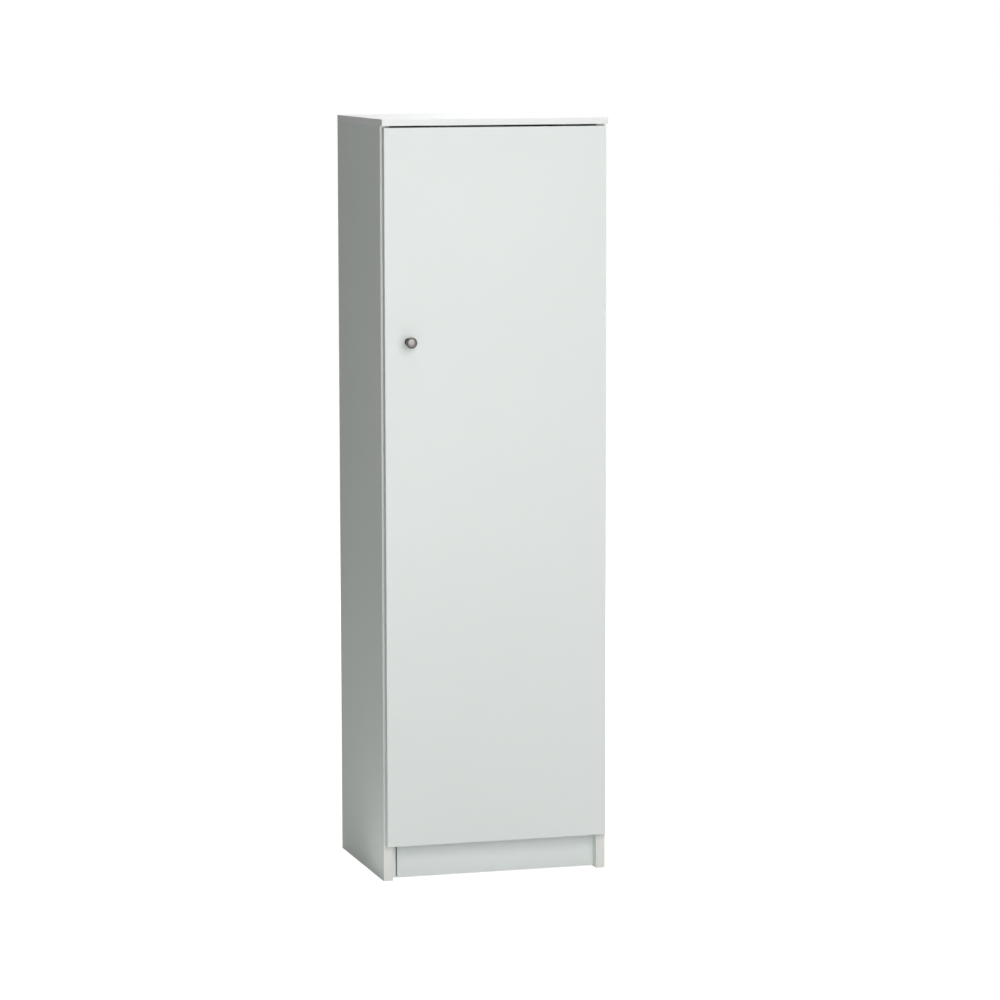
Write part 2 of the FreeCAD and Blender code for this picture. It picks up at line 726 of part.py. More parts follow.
left_side = side_panel(-1).cut(side_pin_holes + catch_bites
                               + all_placed(block_bite, left_block_screws))
right_side = side_panel(1).cut(plate_bites + all_placed(block_bite, right_block_screws))

top_panel = box(-width / 2, width / 2, door_front, side_depth, side_top, height)
top_front_edges = [edge for edge in top_panel.Edges
                   if edge.CenterOfMass.isEqual(V(0, door_front, height), 0.01)]
top_panel = top_panel.makeFillet(top_front_radius, top_front_edges)
top_rebate = box(-back_half - back_edge_gap, back_half + back_edge_gap, board_rear,
                 side_depth, side_top, side_top + rebate_width)
top_panel = bored(top_panel.cut(top_rebate), (), top_cams[0] + top_cams[1],
                  top_dowels[0] + top_dowels[1], nail_holes + bracket_bites)


def fixed_board(underside):
    """Board between the sides, as deep as they are up to the back sheet."""
    return box(-inner_x, inner_x, 0, board_rear, underside, underside + board_thickness)


bottom_panel = bored(fixed_board(plinth_height), floor_cams[0] + floor_cams[1], (),
                     floor_dowels[0] + floor_dowels[1] + partition_foot_dowels + plinth_dowels,
                     nail_holes)
hat_shelf = bored(fixed_board(hat_shelf_bottom), hat_cams[0] + hat_cams[1], (),
                  hat_dowels[0] + hat_dowels[1] + partition_head_dowels, nail_holes)
partition = bored(box(partition_left, partition_right, partition_setback, board_rear,
                      floor_panel_top, hat_shelf_bottom),
                  (), (), partition_foot_dowels + partition_head_dowels,
                  nail_holes + partition_pin_holes)

cam_places_all = [place for pair in (top_cams, floor_cams, hat_cams) for row in pair for place in row]
dowel_places_all = [place for pair in (top_dowels, floor_dowels, hat_dowels)
                    for row in pair for place in row]
dowel_places_all += partition_foot_dowels + partition_head_dowels + plinth_dowels

# ---------------------------------------------------------------- the pieces, by node
pieces = {
    "left_side": [left_side],
    "right_side": [right_side],
    "top_panel": [top_panel],
    "bottom_panel": [bottom_panel],
    "hat_shelf": [hat_shelf],
    "partition": [partition],
    "lower_shelf": [shelf(shelf_levels[0])],
    "middle_shelf": [shelf(shelf_levels[1])],
    "upper_shelf": [shelf(shelf_levels[2])],
    "plinth_board": [plinth_board],
    "left_plinth_block": [left_block],
    "right_plinth_block": [right_block],
    "lower_back": [lower_back.cut(nail_holes)],
    "upper_back": [upper_back.cut(nail_holes + wall_clearance_holes)],
    "back_nails": back_nails,
    "cam_discs": all_placed(cam_disc(), cam_places_all),
    "cam_bolts": all_placed(cam_bolt(), cam_places_all),
    "dowels": all_placed(dowel(), dowel_places_all),
    "block_screws": block_screws,
    "shelf_pins": shelf_pins,
    "hinge_plates": hinge_plates,
    "hinge_arms": hinge_arms,
    "plate_screws": plate_screws,
    "arm_screws": arm_screws,
    "catch_housing": [catch_housing],
    "catch_magnet": [magnet],
    "catch_screws": catch_screws,
    "wall_bracket": [bracket],
    "bracket_screws": bracket_screws,
    "door_panel": [door_panel],
    "hinge_cups": hinge_cups,
    "hinge_pins": hinge_pins,
    "cup_screws": cup_screws,
    "knob": [knob],
    "knob_screw": [knob_screw],
    "strike_plate": [strike_plate],
    "strike_screws": strike_screws,
    "door_buffers": door_buffers,
}

os.makedirs("parts", exist_ok=True)
to_origin = V(0, -outline_middle, 0)
for name, solids in pieces.items():
    moved = [solid.translated(to_origin) for solid in solids]
    whole = moved[0] if len(moved) == 1 else Part.makeCompound(moved)
    if not whole.isValid() or len(whole.Solids) != len(solids):
        raise ValueError("bad solid in " + name)
    whole.exportStep("parts/" + name + ".step")
    print(name, len(whole.Solids), "solids", round(whole.Volume / 1000, 1), "cm3")
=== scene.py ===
import math

import bmesh
import bpy
from mathutils import Matrix, Vector


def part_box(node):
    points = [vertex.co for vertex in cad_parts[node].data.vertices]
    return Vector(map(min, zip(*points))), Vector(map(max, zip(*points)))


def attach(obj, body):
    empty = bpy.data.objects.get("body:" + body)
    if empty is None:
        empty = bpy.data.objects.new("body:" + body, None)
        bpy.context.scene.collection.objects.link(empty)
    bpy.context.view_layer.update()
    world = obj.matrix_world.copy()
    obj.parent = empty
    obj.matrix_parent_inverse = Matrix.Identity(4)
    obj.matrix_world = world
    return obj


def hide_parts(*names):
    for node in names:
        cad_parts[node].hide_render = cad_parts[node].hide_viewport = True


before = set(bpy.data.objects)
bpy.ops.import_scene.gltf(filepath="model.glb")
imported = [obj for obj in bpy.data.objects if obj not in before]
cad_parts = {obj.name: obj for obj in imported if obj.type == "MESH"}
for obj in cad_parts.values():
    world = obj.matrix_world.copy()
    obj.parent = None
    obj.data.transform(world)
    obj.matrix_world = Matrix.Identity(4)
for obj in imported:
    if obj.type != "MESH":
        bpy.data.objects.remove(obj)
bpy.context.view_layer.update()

# ------------------------ sides, floor and shelves
# Chipboard faced on both sides with white melamine foil, its front edges closed with a band
# of the same foil. Rear edges, bores and cut ends show the pressed chips. The fixed boards
# are drawn together with cams and dowels, and the loose shelves lie on steel pins.
foil_white = (0.785, 0.825, 0.805, 1)
foil_white_deep = (0.768, 0.808, 0.788, 1)
# The sides' foil is greener and a little darker than the door's: painted shade, the tint the
# left side shows in shade.
side_shade_tint_white = (0.765, 0.828, 0.774, 1)
side_shade_tint_white_deep = (0.748, 0.811, 0.757, 1)
# The sides' front band is whiter than their faces: painted light on the narrow strip beside the
# door, which the door shades.
side_band_painted_light = (0.815, 0.820, 0.778, 1)
foil_seam = (0.56, 0.58, 0.56, 1)
foil_thickness = 0.0004
foil_roughness = 0.44
foil_gloss = 0.2
foil_clouds = 2.2
cloud_dulling = 0.06
foil_peel = 700.0
peel_share = 0.12
foil_relief = 0.00018
band_depth = 0.0012
seam_width = 0.00012
seam_strength = 0.5
chip_pale = (0.60, 0.45, 0.29, 1)
chip_dark = (0.30, 0.19, 0.10, 1)
chip_roughness = 0.85
flakes_to_the_metre = 620.0
specks_to_the_metre = 1500.0
chips_to_the_metre = 900.0
board_edge_ease = 0.0004
sharp_angle = math.radians(50)
same_corner = 0.00001
X, Y, Z = 0, 1, 2
LOW, HIGH = 0, 1


def add_node(tree, kind, inputs=(), **settings):
    """A shader node with some settings, and inputs that are linked or set to a value."""
    made = tree.nodes.new("ShaderNode" + kind)
    for key, value in settings.items():
        setattr(made, key, value)
    for key, value in dict(inputs).items():
        if isinstance(value, bpy.types.NodeSocket):
            tree.links.new(value, made.inputs[key])
        else:
            made.inputs[key].default_value = value
    return made


def new_finish(name, roughness, metallic=0.0, specular=0.5):
    """A material with one Principled shader, its node tree, that shader and object space."""
    material = bpy.data.materials.new(name)
    material.use_nodes = True
    tree = material.node_tree
    shader = tree.nodes["Principled BSDF"]
    shader.inputs["Roughness"].default_value = roughness
    shader.inputs["Metallic"].default_value = metallic
    shader.inputs["Specular IOR Level"].default_value = specular
    place = add_node(tree, "TexCoord").outputs["Object"]
    return material, tree, shader, place


def math_node(tree, operation, *values):
    """Output of a Math node."""
    return add_node(tree, "Math", dict(enumerate(values)), operation=operation).outputs[0]


def times(tree, first, second):
    """Product of two values."""
    return math_node(tree, "MULTIPLY", first, second)


def ramp(tree, value, *stops):
    """Colour that follows a value through (place, colour) stops."""
    made = add_node(tree, "ValToRGB", {"Fac": value})
    made.color_ramp.elements[0].position = stops[0][0]
    made.color_ramp.elements[0].color = stops[0][1]
    made.color_ramp.elements[1].position = stops[-1][0]
    made.color_ramp.elements[1].color = stops[-1][1]
    for position, colour in stops[1:-1]:
        made.color_ramp.elements.new(position).color = colour
    return made.outputs["Color"]


def mixed(tree, share, first, second):
    """Colour between two, by a share."""
    made = add_node(tree, "Mix", data_type="RGBA")
    colour_inputs = [socket for socket in made.inputs if socket.type == "RGBA"]
    for socket, value in zip([made.inputs["Factor"]] + colour_inputs, (share, first, second)):
        if isinstance(value, bpy.types.NodeSocket):
            tree.links.new(value, socket)
        else:
            socket.default_value = value
    return [socket for socket in made.outputs if socket.type == "RGBA"][0]


def noise(tree, place, scale, detail=2.0, roughness=0.5):
    """Grey noise at so many grains to the metre."""
    return add_node(tree, "TexNoise", {"Vector": place, "Scale": scale, "Detail": detail,
                                       "Roughness": roughness}).outputs["Fac"]


def bumped(tree, shader, height, rise):
    """Raises the surface by a height, at most by so many metres."""
    bump = add_node(tree, "Bump", {"Height": height, "Distance": rise})
    tree.links.new(bump.outputs["Normal"], shader.inputs["Normal"])


def coloured(tree, shader, colour):
    """Links a colour to the shader."""
    tree.links.new(colour, shader.inputs["Base Color"])


def chip_core(tree, place):
    """Colour of cut chipboard: flakes of wood pressed in all directions."""
    flakes = add_node(tree, "TexVoronoi",
                      {"Vector": place, "Scale": flakes_to_the_metre}).outputs["Color"]
    tone = add_node(tree, "SeparateColor", {"Color": flakes}).outputs["Red"]
    fine = noise(tree, place, specks_to_the_metre)
    return ramp(tree, times(tree, tone, fine), (0.08, chip_dark), (0.42, chip_pale))


def board_finish(node, thin_axis, banded, white=foil_white, white_deep=foil_white_deep,
                 band_painted_light=None):
    """Foil on the faces and on the banded edges, chips elsewhere. Banded edges are
    (axis, side, depth), and a fine seam runs along each where band and face foil meet. A
    band colour, if given, is painted light laid on the bands."""
    low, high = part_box(node)
    material, tree, shader, place = new_finish(node + "_foil", foil_roughness,
                                               specular=foil_gloss)
    axes = add_node(tree, "SeparateXYZ", {"Vector": place}).outputs
    middle = (low[thin_axis] + high[thin_axis]) / 2
    half = (high[thin_axis] - low[thin_axis]) / 2
    bare = math_node(tree, "COMPARE", axes[thin_axis], middle, half - foil_thickness)
    cloud = noise(tree, place, foil_clouds, detail=3.0)
    foil = ramp(tree, cloud, (0.3, white_deep), (0.7, white))
    seam = None
    for axis, side, depth in banded:
        edge = (low, high)[side][axis]
        inwards = (1, -1)[side]
        band = math_node(tree, "COMPARE", axes[axis], edge, depth)
        bare = times(tree, bare, math_node(tree, "SUBTRACT", 1.0, band))
        line = math_node(tree, "COMPARE", axes[axis], edge + inwards * depth, seam_width)
        seam = math_node(tree, "MAXIMUM", seam, line) if seam else line
        # Painted light: the bands take the lighter band colour.
        foil = mixed(tree, band, foil, band_painted_light) if band_painted_light else foil
    foil = mixed(tree, times(tree, seam, seam_strength), foil, foil_seam)
    coloured(tree, shader, mixed(tree, bare, foil, chip_core(tree, place)))
    peel = noise(tree, place, foil_peel, detail=1.0)
    chips = noise(tree, place, chips_to_the_metre, detail=4.0)
    rise = math_node(tree, "ADD", times(tree, peel, peel_share), times(tree, chips, bare))
    bumped(tree, shader, rise, foil_relief)
    smooth = math_node(tree, "ADD", foil_roughness, times(tree, cloud, cloud_dulling))
    rough = times(tree, bare, chip_roughness)
    tree.links.new(math_node(tree, "MAXIMUM", smooth, rough), shader.inputs["Roughness"])
    return material


def dress(node, material):
    """Gives a node its material."""
    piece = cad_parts[node]
    piece.data.materials.clear()
    piece.data.materials.append(material)
    return piece


def eased(piece, width, segments=2):
    """Rounds the sharp edges of a piece a little."""
    weld = piece.modifiers.new("weld", "WELD")
    weld.merge_threshold = same_corner
    bevel = piece.modifiers.new("ease", "BEVEL")
    bevel.width = width
    bevel.segments = segments
    bevel.limit_method = "ANGLE"
    bevel.angle_limit = sharp_angle
    bevel.use_clamp_overlap = True
    even = piece.modifiers.new("even", "WEIGHTED_NORMAL")
    even.keep_sharp = True
    return piece


def foiled(node, thin_axis, banded, *whites):
    """A foiled board with its edges broken."""
    foil = board_finish(node, thin_axis, banded, *whites)
    return eased(dress(node, foil), board_edge_ease)


front_band = (Y, LOW, band_depth)
# The sides take the shade-tinted foil and a front band whitened with painted light.
for node in ("left_side", "right_side"):
    foiled(node, X, [front_band], side_shade_tint_white, side_shade_tint_white_deep, side_band_painted_light)
for node, thin_axis in (("partition", X), ("bottom_panel", Z), ("hat_shelf", Z),
                        ("lower_shelf", Z), ("middle_shelf", Z), ("upper_shelf", Z)):
    foiled(node, thin_axis, [front_band])

# ------------------------ top panel
# The same board laid over both sides, its front edge rounded along the top and level with
# the door's face. It is banded on the front and on both ends.
# The top's foil is whiter than the other boards': painted light, standing in for the brighter
# light on its top face and front edge.
top_painted_light_white = (0.850, 0.868, 0.852, 1)
top_painted_light_white_deep = (0.835, 0.853, 0.837, 1)
top_front_depth = 0.0036
top_bands = [(Y, LOW, top_front_depth), (X, LOW, band_depth), (X, HIGH, band_depth)]
foiled("top_panel", Z, top_bands, top_painted_light_white, top_painted_light_white_deep)

# ------------------------ plinth
# A foiled board set back under the door, doweled up into the floor board, with a short
# block of the same board screwed to each side behind its ends. All cut ends are banded.


def banded_round(thin_axis):
    """Bands on all four edges of a board."""
    return [(axis, side, band_depth) for axis in (X, Y, Z) if axis != thin_axis
            for side in (LOW, HIGH)]


for node, thin_axis in (("plinth_board", Y), ("left_plinth_block", X),
                        ("right_plinth_block", X)):
    foiled(node, thin_axis, banded_round(thin_axis))

# ------------------------ back sheets
# Two sheets of 3 mm hardboard nailed in the rebate. The face towards the inside is
# painted white, and the rear face shows brown pressed fibre with the weave of the screen.
sheet_brown = (0.235, 0.140, 0.070, 1)
sheet_brown_pale = (0.330, 0.210, 0.115, 1)
sheet_white = (0.74, 0.75, 0.72, 1)
sheet_roughness = 0.7
sheet_gloss = 0.3
sheet_clouds = 7.0
sheet_relief = 0.00025
fibres_to_the_metre = 420.0
fibre_stretch = (1.0, 1.0, 0.35)
paint_thickness = 0.0004
screen_pitch = 0.0016
weave_share = 0.25


def back_finish(node):
    """Brown fibre behind, white paint inside."""
    low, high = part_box(node)
    material, tree, shader, place = new_finish(node + "_sheet", sheet_roughness,
                                               specular=sheet_gloss)
    axes = add_node(tree, "SeparateXYZ", {"Vector": place}).outputs
    painted = math_node(tree, "LESS_THAN", axes[Y], low[Y] + paint_thickness)
    stretch = add_node(tree, "Mapping", {"Vector": place, "Scale": fibre_stretch}).outputs[0]
    fibre = noise(tree, stretch, fibres_to_the_metre, detail=6.0, roughness=0.65)
    cloud = noise(tree, place, sheet_clouds, detail=3.0)
    tone = math_node(tree, "ADD", times(tree, fibre, 0.7), times(tree, cloud, 0.3))
    brown = ramp(tree, tone, (0.35, sheet_brown), (0.65, sheet_brown_pale))
    coloured(tree, shader, mixed(tree, painted, brown, sheet_white))
    waves = [math_node(tree, "SINE", times(tree, axes[axis], 2 * math.pi / screen_pitch))
             for axis in (X, Z)]
    weave = times(tree, math_node(tree, "ADD", *waves), weave_share)
    bare = math_node(tree, "SUBTRACT", 1.0, painted)
    rise = times(tree, bare, math_node(tree, "ADD", weave, fibre))
    bumped(tree, shader, rise, sheet_relief)
    return material


for node in ("lower_back", "upper_back"):
    dress(node, back_finish(node))

# ------------------------ back nails
# Bright steel nails driven through the back sheets into the boards. Each has a round flat
# head that lies on the sheet, and a tapered point.
nail_shank = 0.0008
nail_head = 0.0022
nail_head_depth = 0.0006
nail_point = 0.0016
nail_sides = 20
# rings of a head: share of its height, share of its radius
nail_dome = [(-1, 0.94), (-0.7, 1), (-0.3, 1), (-0.05, 0.9), (0, 0.6)]
zinc_bright = (0.640, 0.655, 0.680, 1)
zinc_dull = (0.500, 0.505, 0.510, 1)
#           roughness, grains to the metre and their rise in metres
zinc_skin = (0.32, 2500.0, 0.00002)
plating_clouds = 160.0
plating_smears = 90.0
smear_spread = 0.2
smooth_angle = math.radians(32)


def metal_finish(name, bright, dull, roughness, grain, rise):
    """Metal whose plating clouds a little and whose surface has a fine grain."""
    material, tree, shader, place = new_finish(name, roughness, metallic=1.0)
    cloud = noise(tree, place, plating_clouds, detail=4.0)
    coloured(tree, shader, ramp(tree, cloud, (0.35, dull), (0.65, bright)))
    spread = times(tree, noise(tree, place, plating_smears), smear_spread)
    tree.links.new(math_node(tree, "ADD", spread, roughness - smear_spread / 2),
                   shader.inputs["Roughness"])
    bumped(tree, shader, noise(tree, place, grain, detail=3.0), rise)
    return material


def separate_solids(node):
    """Lowest and highest corner and all the corners of each separate solid of a node."""
    shape = bmesh.new()
    shape.from_mesh(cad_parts[node].data)
    bmesh.ops.remove_doubles(shape, verts=shape.verts, dist=same_corner)
    reached = set()
    solids = []
    for first in shape.verts:
        if first in reached:
            continue
        reached.add(first)
        waiting, corners = [first], []
        while waiting:
            corner = waiting.pop()
            corners.append(corner.co.copy())
            for line in corner.link_edges:
                other = line.other_vert(corner)
                if other not in reached:
                    reached.add(other)
                    waiting.append(other)
        low, high = (Vector([pick(corner[axis] for corner in corners) for axis in (X, Y, Z)])
                     for pick in (min, max))
        solids.append((low, high, corners))
    shape.free()
    return solids


def standing(node):
    """Each long solid of a node as the middle of its wider end, the way out, its length."""
    found = []
    for low, high, corners in separate_solids(node):
        axis = max((X, Y, Z), key=lambda way: high[way] - low[way])
        middle = (low + high) / 2
        length = high[axis] - low[axis]

        def girth(side):
            """How far the corners at one end lie from the middle line."""
            end = (low, high)[side][axis]
            reach = 0.0
            for corner in corners:
                if abs(corner[axis] - end) < length * 0.01:
                    off = corner - middle
                    off[axis] = 0.0
                    reach = max(reach, off.length)
            return reach

        out = Vector((0, 0, 0))
        out[axis] = 1.0 if girth(HIGH) > girth(LOW) else -1.0
        found.append((middle + out * length / 2, out, length))
    return found


def turned(profile, sides, closed=False, groove_every=0, groove_share=1.0):
    """Round body about Z through (height, radius) rings. A closed one is a tube whose last
    ring meets its first. Grooves draw in every so many corners to a share of the radius."""
    shape = bmesh.new()
    rings = []
    for height, radius in profile:
        ring = []
        for step in range(sides):
            angle = 2 * math.pi * step / sides
            grooved = groove_every and step % groove_every == 0
            reach = radius * (groove_share if grooved else 1.0)
            ring.append(shape.verts.new((reach * math.cos(angle), reach * math.sin(angle),
                                         height)))
        rings.append(ring)
    pairs = list(zip(rings, rings[1:]))
    if closed:
        pairs.append((rings[-1], rings[0]))
    else:
        shape.faces.new(rings[0])
        shape.faces.new(rings[-1])
    for one, other in pairs:
        for step in range(sides):
            after = (step + 1) % sides
            shape.faces.new((one[step], one[after], other[after], other[step]))
    return shape


def scaled(rings, height, radius):
    """Rings given as shares of a height and of a radius."""
    return [(height * up, radius * out) for up, out in rings]


def turned_to(place, up, along=None):
    """Where a body drawn with +Z up and +X along is put."""
    up = Vector(up).normalized()
    along = Vector(along) if along else up.orthogonal().normalized()
    matrix = Matrix((along, up.cross(along), up)).transposed().to_4x4()
    matrix.translation = place
    return matrix


def at_ends(found):
    """Where a body that hangs down from zero is put for each long solid found."""
    return [turned_to(end, out) for end, out, _ in found]


def as_mesh(name, shape):
    """A drawn body turned into a mesh."""
    mesh = bpy.data.meshes.new(name)
    shape.to_mesh(mesh)
    shape.free()
    return mesh


def copies(shape, places):
    """One body made of the same body put at each place."""
    master = as_mesh("master", shape)
    whole = bmesh.new()
    for place in places:
        start = len(whole.verts)
        whole.from_mesh(master)
        whole.verts.ensure_lookup_table()
        bmesh.ops.transform(whole, matrix=place, verts=whole.verts[start:])
    bpy.data.meshes.remove(master)
    return whole


def together(*shapes):
    """Several bodies as one."""
    whole = shapes[0]
    for shape in shapes[1:]:
        scrap = as_mesh("scrap", shape)
        whole.from_mesh(scrap)
        bpy.data.meshes.remove(scrap)
    return whole


def put_in_scene(name, data):
    """An object of a mesh, a lamp or a camera, in the scene."""
    made = bpy.data.objects.new(name, data)
    bpy.context.scene.collection.objects.link(made)
    return made


def solid_object(name, shape):
    """An object of a drawn body, its faces turned outwards."""
    bmesh.ops.recalc_face_normals(shape, faces=shape.faces)
    return put_in_scene(name, as_mesh(name, shape))


def new_piece(name, shape, material, body, slot, *nodes):
    """A finished piece that rides on a body and stands for some nodes."""
    piece = solid_object(name, shape)
    for face in piece.data.polygons:
        face.use_smooth = True
    piece.data.set_sharp_from_angle(angle=smooth_angle)
    piece.data.materials.append(material)
    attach(piece, body)
    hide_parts(*nodes)
    return piece


zinc = metal_finish("zinc_plating", zinc_bright, zinc_dull, *zinc_skin)
nails = standing("back_nails")
nail_length = nails[0][2]
nail = turned([(-nail_length, nail_shank * 0.1), (nail_point - nail_length, nail_shank),
               (-nail_head_depth - nail_shank / 2, nail_shank),
               (-nail_head_depth, nail_shank * 1.6)]
              + scaled(nail_dome, nail_head_depth, nail_head), nail_sides)
new_piece("flat_headed_nails", copies(nail, at_ends(nails)), zinc, "carcass", "zinc_steel",
          "back_nails")

# ------------------------ cams, bolts and dowels
# A die-cast zinc cam sits in a round pocket in one board and draws in the head of a steel
# bolt screwed into the other. It has a cross for the driver and a thin rim that covers the
# pocket's edge. Fluted beech dowels between the bolts keep the boards level.
cam_radius = 0.0069
cam_rim = 0.00775
cam_rim_proud = 0.0002
cam_rim_depth = 0.0003
cam_foot = [(-1, 0.5), (-1, 0.95), (-0.96, 1)]
cam_lip = [(0.4, 1), (1, 0.98), (1, 0.88), (0, 0.85)]
cam_cross = (0.0092, 0.0016, 0.0020)
cam_mouth = 0.0037
cam_mouth_depth = 0.0075
cam_sides = 48
bolt_radius = 0.0030
bolt_tip = 0.0006
bolt_thread_start = 0.0008
bolt_thread_root = 0.0023
bolt_thread_pitch = 0.0020
bolt_grip = 0.0110
bolt_collar = 0.0036
bolt_collar_length = 0.0008
bolt_collar_slope = 0.0002
bolt_shank = 0.0027
bolt_neck = 0.0020
bolt_neck_length = 0.0040
bolt_neck_slope = 0.0006
bolt_head = 0.0034
bolt_head_length = 0.0050
bolt_dome = [(-0.8, 0.95), (-0.6, 1), (-0.3, 0.9), (0, 0.5)]
bolt_sides = 24
dowel_radius = 0.0040
dowel_end = 0.00288
dowel_taper = 0.0012
dowel_sides = 48
casting_bright = (0.520, 0.520, 0.515, 1)
casting_dull = (0.360, 0.360, 0.355, 1)
casting_skin = (0.48, 1800.0, 0.00005)
beech_pale = (0.66, 0.47, 0.28, 1)
beech_deep = (0.50, 0.33, 0.18, 1)
beech_skin = (0.6, 900.0, 0.00006)
tone_clouds = 60.0


def plain_finish(name, colour, deep_colour, roughness, grain, rise):
    """Plastic, wood or rubber with a slight change of tone and a fine grain."""
    material, tree, shader, place = new_finish(name, roughness)
    cloud = noise(tree, place, tone_clouds, detail=4.0)
    coloured(tree, shader, ramp(tree, cloud, (0.3, deep_colour), (0.7, colour)))
    bumped(tree, shader, noise(tree, place, grain, detail=3.0), rise)
    return material


def slab(outline, thickness):
    """Flat plate of an outline in X and Y, its lower face at zero."""
    shape = bmesh.new()
    low = [shape.verts.new((x, y, 0.0)) for x, y in outline]
    high = [shape.verts.new((x, y, thickness)) for x, y in outline]
    shape.faces.new(low)
    shape.faces.new(high)
    for step in range(len(outline)):
        after = (step + 1) % len(outline)
        shape.faces.new((low[step], low[after], high[after], high[step]))
    return shape


def moved(shape, matrix):
    """A body put somewhere else."""
    bmesh.ops.transform(shape, matrix=matrix, verts=shape.verts)
    return shape


def brick(low, high):
    """Cutter between two corners."""
    outline = [(low[X], low[Y]), (high[X], low[Y]), (high[X], high[Y]), (low[X], high[Y])]
    return moved(slab(outline, high[Z] - low[Z]), Matrix.Translation((0, 0, low[Z])))


def cross_bit(reach, width, depth):
    """Cutter for a cross recess that narrows towards its bottom, level with zero."""
    far, near = reach / 2, width / 2
    quarter = [(far, -near), (far, near), (near, near)]
    outline = [(x * round(math.cos(turn)) - y * round(math.sin(turn)),
                x * round(math.sin(turn)) + y * round(math.cos(turn)))
               for turn in (0, math.pi / 2, math.pi, math.pi * 3 / 2) for x, y in quarter]
    shape = moved(slab(outline, 2 * depth), Matrix.Translation((0, 0, -depth)))
    for corner in shape.verts:
        share = 1.0 + 0.35 * corner.co.z / depth
        corner.co.x *= share
        corner.co.y *= share
    return shape


def carved(shape, *cutters):
    """A body with others cut out of it."""
    body = solid_object("blank", shape)
    tools = [solid_object("cutter", cutter) for cutter in cutters]
    for tool in tools:
        cut = body.modifiers.new("cut", "BOOLEAN")
        cut.operation = "DIFFERENCE"
        cut.solver = "EXACT"
        cut.object = tool
    ready = body.evaluated_get(bpy.context.evaluated_depsgraph_get())
    result = bmesh.new()
    result.from_mesh(ready.to_mesh())
    ready.to_mesh_clear()
    for scrap in [body] + tools:
        mesh = scrap.data
        bpy.data.objects.remove(scrap)
        bpy.data.meshes.remove(mesh)
    return result


def thread(start, end, root, crest, pitch):
    """Rings of a screw thread from one height up to another."""
    turns = max(1, round((end - start) / pitch))
    step = (end - start) / turns
    return [(start + step * (turn + share), radius) for turn in range(turns)
            for share, radius in ((0.0, root), (0.35, crest), (0.55, crest), (0.9, root))]


def cam_places():
    """Each cam's open face, the way it looks and the way from its bolt."""
    places = []
    for low, high, _ in separate_solids("cam_discs"):
        middle = (low + high) / 2
        aside = Vector((math.copysign(1.0, middle.x), 0, 0))
        upright = high[X] - low[X] < high[Z] - low[Z]
        out = -aside if upright else Vector((0, 0, -1))
        along = Vector((0, 0, -1)) if upright else -aside
        half = (high - low).dot(Vector([abs(part) for part in out])) / 2
        places.append(turned_to(middle + out * half, out, along))
    return places


low, high, _ = separate_solids("cam_discs")[0]
cam_depth = min(high - low)
cam_body = turned(scaled(cam_foot, cam_depth, cam_radius)
                  + [(-cam_rim_depth, cam_radius), (-cam_rim_depth, cam_rim)]
                  + scaled(cam_lip, cam_rim_proud, cam_rim), cam_sides)
mouth = brick((-2 * cam_radius, -cam_mouth, -cam_mouth_depth - cam_mouth),
              (cam_mouth, cam_mouth, cam_mouth - cam_mouth_depth))
casting = metal_finish("zinc_casting_skin", casting_bright, casting_dull, *casting_skin)
new_piece("cast_cams", copies(carved(cam_body, mouth, cross_bit(*cam_cross)), cam_places()),
          casting, "carcass", "zinc_casting", "cam_discs")

bolts = standing("cam_bolts")
bolt_end = -bolts[0][2]
collar_start = bolt_end + bolt_grip
collar_end = collar_start + bolt_collar_length
neck_start = -bolt_head_length - bolt_neck_length
bolt = turned([(bolt_end, bolt_radius * 0.4), (bolt_end + bolt_tip, bolt_thread_root)]
              + thread(bolt_end + bolt_thread_start, collar_start, bolt_thread_root,
                       bolt_radius, bolt_thread_pitch)
              + [(collar_start, bolt_collar), (collar_end, bolt_collar),
                 (collar_end + bolt_collar_slope, bolt_shank),
                 (neck_start - bolt_neck_slope, bolt_shank), (neck_start, bolt_neck),
                 (-bolt_head_length, bolt_neck)]
              + scaled(bolt_dome, bolt_head_length, bolt_head), bolt_sides)
new_piece("threaded_cam_bolts", copies(bolt, at_ends(bolts)), zinc, "carcass", "zinc_steel",
          "cam_bolts")

beech = plain_finish("beech_wood", beech_pale, beech_deep, *beech_skin)
dowels = standing("dowels")
dowel_length = dowels[0][2]
dowel = turned([(-dowel_length, dowel_end), (dowel_taper - dowel_length, dowel_radius),
                (-dowel_taper, dowel_radius), (0, dowel_end)], dowel_sides,
               groove_every=3, groove_share=0.93)
new_piece("fluted_dowels", copies(dowel, at_ends(dowels)), beech, "carcass", "beech", "dowels")

# ------------------------ screws
# Zinc plated steel. Low domed heads with a cross recess hold the plinth blocks, hinge
# plates, hinge arms, cups, catch and wall bracket. The knob's screw has a fine thread all
# along, and the strike plate's two are countersunk flush.
#            shank, head radius, head height, cross reach, thread pitch
wood_head = (0.00175, 0.0036, 0.0020, 0.0042, 0.0016)
plate_head = (0.0025, 0.0042, 0.0016, 0.0048, 0.0016)
cup_head = (0.00175, 0.0036, 0.0010, 0.0042, 0.0016)
flush_head = (0.00175, 0.0026, 0.00024, 0.0030, 0.0016)
knob_head = (0.0020, 0.0036, 0.0020, 0.0044, 0.0007)
screw_dome = [(-1, 0.97), (-0.7, 1), (-0.45, 0.93), (-0.2, 0.76), (-0.05, 0.5), (0, 0.28)]
cross_width = 0.0009
shallowest_cross = 0.0006
screw_sides = 28
thread_depth_share = 0.74


def screw_body(length, shank, head_radius, head_height, cross_reach, pitch):
    """Pointed screw hanging down from the top of its head, with a cross recess."""
    root = shank * thread_depth_share
    start, end = 2 * shank - length, -head_height - 2 * shank
    body = turned([(-length, root * 0.1), (start, root)]
                  + thread(start, end, root, shank, pitch)
                  + [(end, shank * 0.9), (-head_height, shank * 0.9)]
                  + scaled(screw_dome, head_height, head_radius), screw_sides)
    depth = max(head_height * 0.6, shallowest_cross)
    return carved(body, cross_bit(cross_reach, cross_width, depth))


